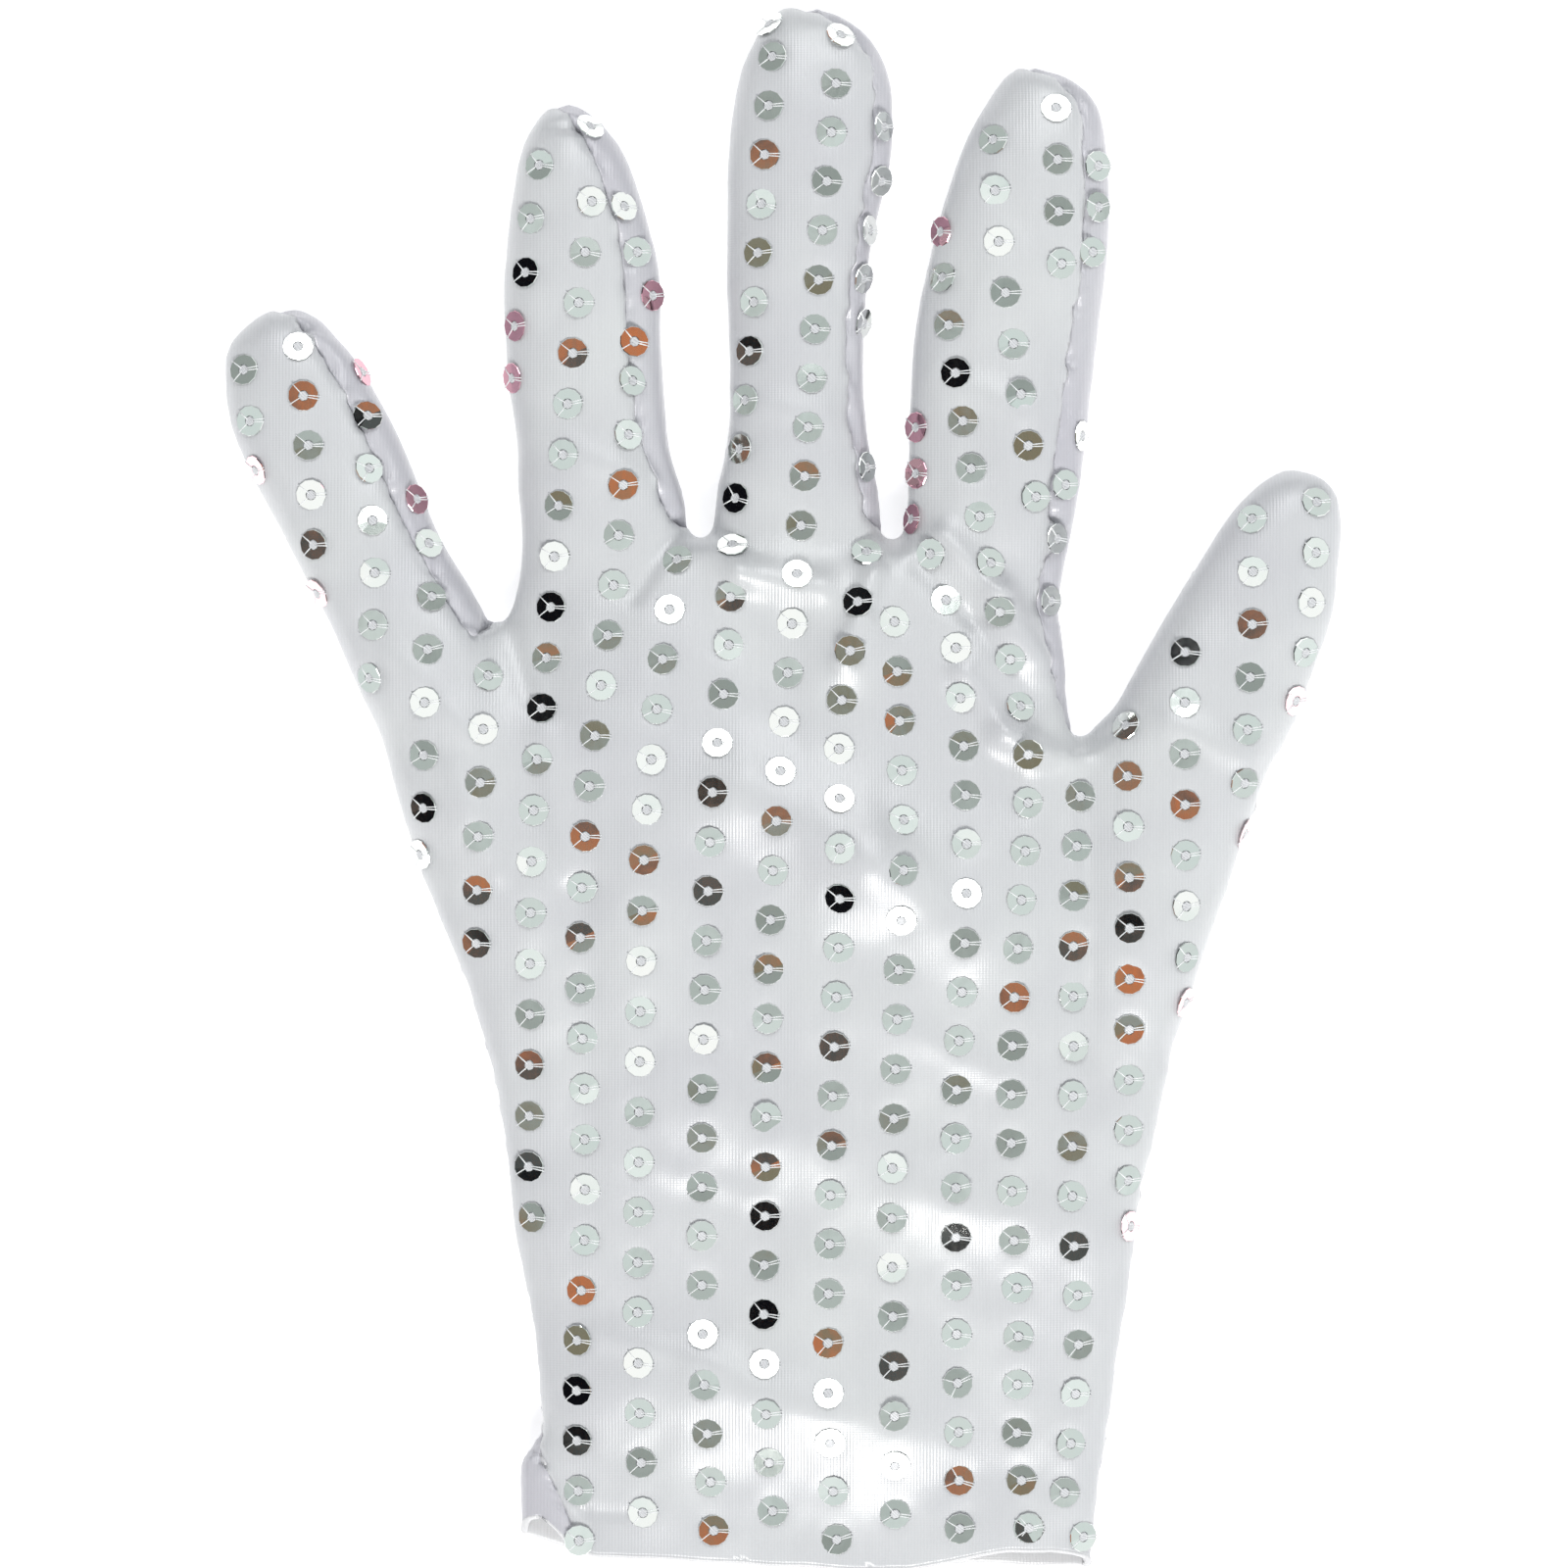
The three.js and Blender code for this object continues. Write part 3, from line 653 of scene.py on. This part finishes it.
def shape_cloth(bm, front_layer):
    """Wrinkles, creases, the pressed seam and the dimples under the sequins."""
    seam = seam_edges(bm, front_layer)
    relax_seam(seam, SEAM_PASSES)
    even_beside(bm, seam, EVENING_PASSES)
    bm.normal_update()
    seam_tree = distance_tree([vert.co for edge in seam for vert in edge.verts])
    spots = [Vector((x, y, 0)) for _, count, path in ROWS for x, y in spaced(path, count)]
    spot_tree = distance_tree(spots)
    moves = {}
    for vert in bm.verts:
        point = vert.co
        lift = wrinkle(point) * clamp01(CALM_UNDERSIDE + point.z / CALM_HEIGHT)
        if vert.normal.z > FACES_UP:
            lift += ridge_height(CREASES, point.x, point.y) * vert.normal.z
            near = spot_tree.find(Vector((point.x, point.y, 0)))[2]
            if near < DIMPLE_RADIUS:
                lift -= DIMPLE_DEPTH * (1 - (near / DIMPLE_RADIUS) ** 2)
        distance = seam_tree.find(point)[2]
        if distance < SEAM_REACH:
            on_front = sum(face[front_layer] for face in vert.link_faces) * 2 > len(vert.link_faces)
            lift -= seam_press(point, distance, on_front)
        moves[vert] = vert.normal * lift
    for vert, move in moves.items():
        vert.co += move
        vert.co.z = max(vert.co.z, 0) + UNDERSIDE_LIFT * (1 - clamp01(vert.co.z / GLOVE_TOP))
        vert.co.y += cuff_lift(vert.co)


def spaced(path, count):
    """Points at equal steps along a smooth path."""
    fine = []
    for index in range(len(path) - 1):
        shares = [step / PATH_STEPS for step in range(PATH_STEPS)]
        fine += [Vector(smooth_row(path, index, share)) for share in shares]
    fine.append(Vector(path[-1]))
    reach = [0]
    for start, end in zip(fine, fine[1:]):
        reach.append(reach[-1] + (end - start).length)
    made = []
    for step in range(count):
        goal = reach[-1] * step / (count - 1)
        index = max(i for i, far in enumerate(reach[:-1]) if far <= goal + SAME_PLACE)
        share = clamp01((goal - reach[index]) / (reach[index + 1] - reach[index]))
        made.append(tuple(fine[index].lerp(fine[index + 1], share)))
    return made


def finished(name, bm, materials, nodes=()):
    """Makes a piece of a bmesh in millimetres, which is used up."""
    bmesh.ops.scale(bm, vec=(MM, MM, MM), verts=bm.verts)
    mesh = bpy.data.meshes.new(name)
    bm.to_mesh(mesh)
    bm.free()
    piece = bpy.data.objects.new(name, mesh)
    bpy.context.scene.collection.objects.link(piece)
    for item in materials:
        mesh.materials.append(item)
    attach(piece, "root")
    if nodes:
        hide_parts(*nodes)
    return piece


def thickened(piece, thickness):
    wall = piece.modifiers.new("cloth_thickness", "SOLIDIFY")
    wall.thickness = thickness * MM
    wall.offset = -1
    wall.use_even_offset = False


def panel(shell, on_front, name, satin):
    """One of the two panels of the shell, as a thin wall."""
    bm = shell.copy()
    layer = bm.faces.layers.int["front"]
    others = [face for face in bm.faces if face[layer] != on_front]
    bmesh.ops.delete(bm, geom=others, context="FACES")
    for face in bm.faces:
        face.smooth = True
    piece = finished(f"{name}_cloth", bm, [satin], [name])
    thickened(piece, CLOTH_THICKNESS)


def mouth_loop(bm):
    """The cuff's open edge as vertices in order round the mouth."""
    open_edges = [edge for edge in bm.edges if edge.is_boundary]
    edge = min(open_edges, key=lambda item: item.verts[0].co.x)
    loop = [edge.verts[0]]
    while True:
        vert = edge.other_vert(loop[-1])
        if vert is loop[0]:
            return loop
        loop.append(vert)
        edge = next(item for item in vert.link_edges if item.is_boundary and item is not edge)


def hem_point(tree, place, outward, row):
    """Point of the hem: first round the rolled edge, then up inside the cuff."""
    if row <= ROLL_STEPS:
        turn = math.pi * row / ROLL_STEPS
        inward = outward * -HEM_ROLL * (1 - math.cos(turn))
        return place + inward + Vector((0, -HEM_ROLL * math.sin(turn), 0))
    above = Vector((0, HEM_DEPTH * (row - ROLL_STEPS) / BAND_STEPS, 0))
    on_cloth, normal = tree.find_nearest(place + above)[:2]
    return on_cloth - normal * 2 * HEM_ROLL


def hem(tree, chain, name, satin):
    """Rolled hem of one panel along a stretch of the cuff's edge."""
    columns = len(chain) - 1
    rows = ROLL_STEPS + BAND_STEPS
    bm = bmesh.new()
    grid = bmesh.ops.create_grid(bm, x_segments=columns, y_segments=rows, size=0.5)["verts"]
    for vert in grid:
        place, outward = chain[round((vert.co.x + 0.5) * columns)]
        vert.co = hem_point(tree, place, outward, round((vert.co.y + 0.5) * rows))
    bm.normal_update()
    bm.faces.ensure_lookup_table()
    first = min(bm.faces, key=lambda face: (face.calc_center_median() - chain[0][0]).length)
    if first.normal.dot(chain[0][1]) < 0:
        bmesh.ops.reverse_faces(bm, faces=bm.faces[:])
    for face in bm.faces:
        face.smooth = True
    piece = finished(f"{name}_cloth", bm, [satin], [name])
    thickened(piece, HEM_CLOTH)


# Places in a sequin piece's list of materials.
FILM_INDEX, STRAND_INDEX, KNOT_INDEX, ROSE_REFLECTION_INDEX, BLUSH_REFLECTION_INDEX = range(5)


def sequin_pattern():
    """One flat sequin with its strands and knot, as a mesh to be copied."""
    bm = bmesh.new()
    bmesh.ops.create_circle(bm, cap_ends=True, segments=SEQUIN_FACETS, radius=SEQUIN_RADIUS)
    bmesh.ops.inset_region(
        bm, faces=bm.faces[:], thickness=SEQUIN_RADIUS - SEQUIN_HOLE, use_boundary=True,
        use_even_offset=True,
    )
    hole = max(bm.faces, key=lambda face: len(face.verts))
    bmesh.ops.delete(bm, geom=[hole], context="FACES_ONLY")
    bmesh.ops.solidify(bm, geom=bm.faces[:], thickness=FILM_THICKNESS)
    lowest = min(vert.co.z for vert in bm.verts)
    bmesh.ops.translate(bm, vec=(0, 0, -lowest), verts=bm.verts)
    rim = [
        vert for vert in bm.verts
        if vert.co.z > FILM_THICKNESS / 2 and vert.co.xy.length > SEQUIN_RADIUS - RIM_SLANT
    ]
    narrower = 1 - RIM_SLANT / SEQUIN_RADIUS
    bmesh.ops.scale(bm, vec=(narrower, narrower, 1), verts=rim)
    bmesh.ops.recalc_face_normals(bm, faces=bm.faces)
    for angle, aside in STRANDS:
        add_strand(bm, math.radians(angle), aside)
    add_knot(bm)
    mesh = bpy.data.meshes.new("sequin_pattern")
    bm.to_mesh(mesh)
    bm.free()
    return mesh


def add_strand(bm, angle, aside):
    """A thread from the hole over the rim, with its outer end drawn down."""
    made = bmesh.ops.create_cube(bm, size=1)["verts"]
    for vert in made:
        along = SEQUIN_HOLE * STRAND_START
        across = vert.co.y * STRAND_WIDTH + aside * STRAND_CLOSING
        height = FILM_THICKNESS + STRAND_LIFT + vert.co.z * STRAND_WIDTH
        if vert.co.x > 0:
            along = SEQUIN_RADIUS + STRAND_OVERHANG
            across = vert.co.y * STRAND_WIDTH + aside
            height -= STRAND_DROP
        vert.co = Vector((
            along * math.cos(angle) - across * math.sin(angle),
            along * math.sin(angle) + across * math.cos(angle),
            height,
        ))
    for face in {face for vert in made for face in vert.link_faces}:
        face.material_index = STRAND_INDEX
        face.smooth = True


def add_knot(bm):
    """The flat knot in the hole, a little narrower than it and narrower still at its top."""
    made = bmesh.ops.create_cone(
        bm, cap_ends=True, segments=KNOT_SIDES, radius1=SEQUIN_HOLE * KNOT_FOOT,
        radius2=SEQUIN_HOLE * KNOT_TOP, depth=KNOT_HEIGHT,
    )["verts"]
    bmesh.ops.translate(bm, vec=(0, 0, KNOT_HEIGHT / 2), verts=made)
    for face in {face for vert in made for face in vert.link_faces}:
        face.material_index = KNOT_INDEX


def seat_on_cloth(tree, x, y, side):
    """Where a sequin lies: the cloth's point, its direction, and how far its rim has to rise."""
    start = Vector((x, y, side * RAY_HEIGHT))
    centre, normal = tree.ray_cast(start, Vector((0, 0, -side)))[:2]
    if centre is None:
        return None
    north = (Vector((0, 1, 0)) - normal * normal.y).normalized()
    east = north.cross(normal)
    around = []
    for sample in range(SEAT_SAMPLES):
        angle = 2 * math.pi * sample / SEAT_SAMPLES
        aside = (east * math.cos(angle) + north * math.sin(angle)) * SEAT_RADIUS
        around.append(tree.find_nearest(centre + aside)[:2])
    facing = (normal + sum((item[1] for item in around), Vector())).normalized()
    rise = max(0, *((place - centre).dot(facing) for place, _ in around))
    return centre, facing, rise


def crease_height(angle, heights):
    """Height per millimetre from the centre: each sector between two strands is one plane."""
    for index, start in enumerate(STRAND_ANGLES):
        after = (index + 1) % len(STRAND_ANGLES)
        wide = (STRAND_ANGLES[after] - start) % 360
        into = (angle - start) % 360
        if into <= wide:
            break
    from_start = heights[index] * math.sin(math.radians(wide - into))
    from_end = heights[after] * math.sin(math.radians(into))
    return (from_start + from_end) / math.sin(math.radians(wide))


def sew_sequin(bm, pattern, seat, dice, film):
    """Adds one sequin on its seat, turned and tilted a little, its film bent at the strands."""
    centre, facing, rise = seat
    turn = math.radians(dice.gauss(*TURN))
    lean_x, lean_y = dice.gauss(0, LEAN), dice.gauss(0, LEAN)
    heights = [
        lean_x * math.cos(math.radians(angle)) + lean_y * math.sin(math.radians(angle))
        + dice.gauss(0, BEND)
        for angle in STRAND_ANGLES
    ]
    lift = rise + SEAT_CLEARANCE + SEQUIN_RADIUS * max(0, -min(heights)) * LEAN_LIFT
    north = (Vector((0, 1, 0)) - facing * facing.y).normalized()
    east = north.cross(facing)
    ahead = east * math.cos(turn) + north * math.sin(turn)
    aside = facing.cross(ahead)
    known = len(bm.verts)
    known_faces = len(bm.faces)
    bm.from_mesh(pattern)
    for vert in list(bm.verts)[known:]:
        x, y, z = vert.co
        bend = crease_height(math.degrees(math.atan2(y, x)), heights) * math.hypot(x, y)
        vert.co = centre + ahead * x + aside * y + facing * (z + lift + bend)
    for face in list(bm.faces)[known_faces:]:
        if face.material_index == FILM_INDEX:
            face.material_index = film


def sequin_piece(name, tree, pattern, spots, side, materials, seed, nodes=()):
    """A row of sewn sequins as one piece."""
    dice = random.Random(seed)
    bm = bmesh.new()
    for x, y in spots:
        seat = seat_on_cloth(tree, x, y, side)
        film = FILM_INDEX
        # Listed edge sequins get a film with a painted reflection.
        if (x, y) in ROSE_REFLECTION_SEQUINS:
            film = ROSE_REFLECTION_INDEX
        if (x, y) in BLUSH_REFLECTION_SEQUINS:
            film = BLUSH_REFLECTION_INDEX
        if seat:
            sew_sequin(bm, pattern, seat, dice, film)
    finished(name, bm, materials, nodes)


class Value:
    """A number that comes out of a shader node. Operators on it add Math nodes."""

    def __init__(self, finish, socket):
        self.finish = finish
        self.socket = socket

    def maths(self, operation, first, second):
        return self.finish.node("Math", {"operation": operation}, {0: first, 1: second})

    def __add__(self, other):
        return self.maths("ADD", self, other)

    def __sub__(self, other):
        return self.maths("SUBTRACT", self, other)

    def __rsub__(self, other):
        return self.maths("SUBTRACT", other, self)

    def __mul__(self, other):
        return self.maths("MULTIPLY", self, other)

    __radd__ = __add__
    __rmul__ = __mul__


class Finish:
    """The node tree of a material or of the world."""

    def __init__(self, owner):
        owner.use_nodes = True
        self.tree = owner.node_tree
        self.tree.nodes.clear()

    def node(self, kind, settings=None, sockets=None, output=0):
        made = self.tree.nodes.new("ShaderNode" + kind)
        for name, setting in (settings or {}).items():
            if name == "stops":
                self.set_stops(made.color_ramp, setting)
            elif name == "steps":
                made.color_ramp.interpolation = setting
            else:
                setattr(made, name, setting)
        for name, value in (sockets or {}).items():
            if isinstance(value, Value):
                self.tree.links.new(value.socket, made.inputs[name])
            else:
                made.inputs[name].default_value = value
        return Value(self, made.outputs[output]) if made.outputs else None

    def set_stops(self, ramp, stops):
        while len(ramp.elements) < len(stops):
            ramp.elements.new(1)
        for element, (place, colour) in zip(ramp.elements, stops):
            element.position = place
            element.color = (*colour, 1)

    def mix(self, factor, first, second):
        """Colour between two colours, which may be fixed ones."""
        first, second = (
            item if isinstance(item, Value) else (*item, 1) for item in (first, second)
        )
        return self.node("Mix", {"data_type": "RGBA"}, {0: factor, 6: first, 7: second}, 2)

    def place(self):
        return self.node("TexCoord", output="Object")

    def stretched(self, scale):
        return self.node("Mapping", None, {"Vector": self.place(), "Scale": scale})

    def cloud(self, size_mm, detail, stretch=(1, 1, 1)):
        """Smooth noise with patches of about that size."""
        scale = 1 / (size_mm * MM)
        return self.node(
            "TexNoise", None,
            {"Vector": self.stretched(stretch), "Scale": scale, "Detail": detail},
        )

    def ribs(self, pitch_mm, axis, waver):
        """Even lines across an axis, as a value from 0 to 1."""
        return self.node(
            "TexWave", {"bands_direction": axis, "wave_profile": "SIN"},
            {"Vector": self.place(), "Scale": math.pi / (10 * pitch_mm * MM),
             "Distortion": waver, "Detail": 1, "Detail Scale": 0.4}, 1,
        )

    def bump(self, height, distance_mm, strength):
        return self.node(
            "Bump", None, {"Height": height, "Distance": distance_mm * MM, "Strength": strength}
        )


def material(name, build):
    """A new material whose surface is a Principled shader with the sockets that build returns."""
    made = bpy.data.materials.new(name)
    finish = Finish(made)
    surface = finish.node("BsdfPrincipled", None, build(finish))
    finish.node("OutputMaterial", None, {"Surface": surface})
    return made


def knit(tone_cool, tone_clear):
    """Satin warp knit: fine wales along the hand, loops across them, and a soft broken sheen."""

    def build(finish):
        patches = finish.cloud(26, 2)
        wales = finish.ribs(0.52, "X", 0.6)
        loops = finish.ribs(0.38, "Y", 0.9)
        slubs = finish.cloud(1.1, 3, (1, 0.12, 1))
        fuzz = finish.cloud(0.7, 2)
        colour = finish.mix(patches, tone_cool, tone_clear)
        # Painted shade in the troughs between the wales, and darker slubs.
        rib_shade_and_slub_tone = 1 - (1 - wales) * 0.045 - slubs * 0.05
        colour = finish.node(
            "Mix", {"data_type": "RGBA", "blend_type": "MULTIPLY"}, {0: 1.0, 6: colour, 7: rib_shade_and_slub_tone}, 2
        )
        relief = wales * 0.6 + loops * 0.22 + slubs * 0.5 + fuzz * 0.25
        return {
            "Base Color": colour,
            "Roughness": 0.30 + fuzz * 0.12 - wales * 0.05,
            "Normal": finish.bump(relief, 0.06, 0.6),
            "Sheen Weight": 0.25,
            "Sheen Roughness": 0.4,
            "Specular IOR Level": 0.95,
        }

    return build


def film(tone, warm_tone):
    """Metallised film: mirror bright, faintly wavy, with hair scratches."""

    def build(finish):
        drift = finish.cloud(9, 2)
        waves = finish.cloud(2.6, 1)
        scratches = finish.cloud(0.5, 2, (1, 0.08, 1))
        return {
            "Base Color": finish.mix(drift, tone, warm_tone),
            "Metallic": 1.0,
            "Roughness": 0.04 + scratches * 0.04,
            "Normal": finish.bump(waves, 0.007, 0.5),
        }

    return build


def thread(tone_dark, tone_light):
    """Pale sewing thread with a fine twist."""

    def build(finish):
        twist = finish.ribs(0.25, "DIAGONAL", 0.5)
        return {
            # Darker in the twist's grooves and lighter on its ridges: painted shade.
            "Base Color": finish.mix(twist, tone_dark, tone_light),
            "Roughness": 0.25 + twist * 0.15,
            "Normal": finish.bump(twist, 0.03, 0.6),
        }

    return build


def paper(finish):
    """Pale floor, lit a little from below as a light table is."""
    grain = finish.cloud(60, 2)
    return {
        "Base Color": finish.mix(grain, (0.84, 0.84, 0.84), (0.86, 0.86, 0.86)),
        "Roughness": 0.9,
        "Specular IOR Level": 0.1,
        "Emission Color": (1, 1, 1, 1),
        "Emission Strength": 0.5,
    }


# What the mirror film sees: dark, copper, olive, grey green, mint and white parts of the studio.
STUDIO_TONES = (
    (0.0, (0.004, 0.004, 0.006)),
    (0.32, (0.09, 0.10, 0.10)),
    (0.352, (0.68, 0.21, 0.08)),
    (0.371, (0.227, 0.205, 0.14)),
    (0.395, (0.33, 0.365, 0.352)),
    (0.44, (0.50, 0.55, 0.535)),
    (0.49, (0.73, 0.795, 0.785)),
    (0.59, (0.91, 0.97, 0.96)),
    (0.645, (1.12, 1.12, 1.12)),
)


def studio_world():
    """Even pale light, with a patterned surround that only reflections pick up."""
    world = bpy.data.worlds.new("studio")
    bpy.context.scene.world = world
    finish = Finish(world)
    direction = finish.node("TexCoord", output="Generated")
    patches = finish.node(
        "TexNoise", None, {"Vector": direction, "Scale": 4.2, "Detail": 0.6, "Roughness": 0.45}
    )
    across = finish.node("SeparateXYZ", None, {"Vector": direction}, 0)
    height = finish.node("SeparateXYZ", None, {"Vector": direction}, 2)
    seen = finish.node(
        "ValToRGB", {"stops": STUDIO_TONES, "steps": "CONSTANT"},
        {"Fac": patches + across * 0.085 - (1 - height) * 0.05},
    )
    soft = finish.mix(height, (0.69, 0.695, 0.72), (0.1, 0.1, 0.105))
    glossy = finish.node("LightPath", output="Is Glossy Ray")
    colour = finish.mix(glossy, soft, seen)
    background = finish.node("Background", None, {"Color": colour, "Strength": 1.0})
    finish.node("OutputWorld", None, {"Surface": background})


def area_light(name, place, size, watts, colour):
    light = bpy.data.lights.new(name, "AREA")
    light.shape = "RECTANGLE"
    light.size, light.size_y = size
    light.energy = watts
    light.color = colour
    lamp = bpy.data.objects.new(name, light)
    bpy.context.scene.collection.objects.link(lamp)
    lamp.location = place
    lamp.rotation_euler = (-lamp.location).to_track_quat("-Z", "Y").to_euler()


def floor():
    bm = bmesh.new()
    bmesh.ops.create_grid(bm, x_segments=2, y_segments=2, size=FLOOR_HALF)
    mesh = bpy.data.meshes.new("floor")
    bm.to_mesh(mesh)
    bm.free()
    ground = bpy.data.objects.new("floor", mesh)
    bpy.context.scene.collection.objects.link(ground)
    mesh.materials.append(material("pale_floor", paper))


def camera():
    """Straight above the glove."""
    view = bpy.data.cameras.new("camera")
    eye = bpy.data.objects.new("camera", view)
    bpy.context.scene.collection.objects.link(eye)
    eye.location = (0, 0, CAMERA_HEIGHT)
    view.sensor_width = SENSOR_WIDTH
    view.lens = SENSOR_WIDTH * (CAMERA_HEIGHT - MIDDLE_HEIGHT) / FRAME_WIDTH
    bpy.context.scene.camera = eye


def sequin_materials():
    """Materials of a sequin piece, in the order of its list."""
    return [
        material("silver_film", film((0.80, 0.85, 0.83), (0.86, 0.86, 0.83))),
        material("thread_strand", thread((0.78, 0.80, 0.80), (0.92, 0.94, 0.95))),
        # The knot's thread is a darker copy of the strands': painted shade in the sequin's hole.
        material("thread_knot_painted_shade", thread((0.56, 0.57, 0.59), (0.68, 0.70, 0.71))),
        # Rose and blush films: painted reflections on the same silver film.
        material("painted_rose_reflection_film", film((0.62, 0.32, 0.40), (0.72, 0.42, 0.48))),
        material("painted_blush_reflection_film", film((0.90, 0.66, 0.70), (0.94, 0.76, 0.78))),
    ]


def add_sequins(tree):
    """Rows of the front, sequins of the edges, and the same rows on the underside."""
    pattern = sequin_pattern()
    materials = sequin_materials()
    for seed, (name, count, path) in enumerate(ROWS):
        spots = spaced(path, count)
        row = f"sequins_{name}"
        sequin_piece(row, tree, pattern, spots, 1, materials, seed, [f"sequin_row_{name}"])
    for seed, (name, spots) in enumerate(EDGE_SEQUINS, EDGE_SEED):
        sequin_piece(f"sequins_{name}", tree, pattern, spots, 1, materials, seed)
    for seed, (name, count, path) in enumerate(ROWS, UNDERSIDE_SEED):
        spots = spaced(path, count)
        sequin_piece(f"underside_{name}", tree, pattern, spots, -1, materials, seed)
    bpy.data.meshes.remove(pattern)


def build_glove():
    satin_front = material("satin_front", knit((0.56, 0.565, 0.60), (0.70, 0.725, 0.72)))
    # The back panel's satin is a darker, more lavender copy of the front's: painted shade on the
    # underside.
    satin_back_painted_shade = material("satin_back_painted_shade", knit((0.51, 0.50, 0.56), (0.62, 0.63, 0.65)))
    # The hem's satin is a lighter copy of the front's: a painted highlight along the cuff's bright
    # edge.
    satin_hem = material("satin_hem", knit((0.70, 0.70, 0.72), (0.76, 0.77, 0.77)))
    shell = hand_form()
    front_layer = cut_along_seam(shell)
    shape_cloth(shell, front_layer)
    shell.normal_update()
    tree = BVHTree.FromBMesh(shell)
    panel(shell, True, "front_panel", satin_front)
    panel(shell, False, "back_panel", satin_back_painted_shade)
    add_hems(shell, front_layer, tree, satin_hem)
    add_sequins(tree)
    shell.free()


def add_hems(shell, front_layer, tree, satin):
    """Front and back hems, each along its own panel's stretch of the cuff's edge."""
    loop = mouth_loop(shell)
    on_front = [all(face[front_layer] for face in vert.link_faces) for vert in loop]
    turn = next(i for i in range(len(loop)) if on_front[i] and not on_front[i - 1])
    loop = loop[turn:] + loop[:turn]
    on_front = on_front[turn:] + on_front[:turn]
    front_count = on_front.index(False)
    chain = [(vert.co.copy(), vert.normal.copy()) for vert in loop]
    chain.append(chain[0])
    hem(tree, chain[:front_count + 1], "front_cuff_hem", satin)
    hem(tree, chain[front_count:], "back_cuff_hem", satin)


bpy.context.scene.view_settings.view_transform = "Standard"
camera()
build_glove()
floor()
studio_world()
for light in LIGHTS:
    area_light(*light)
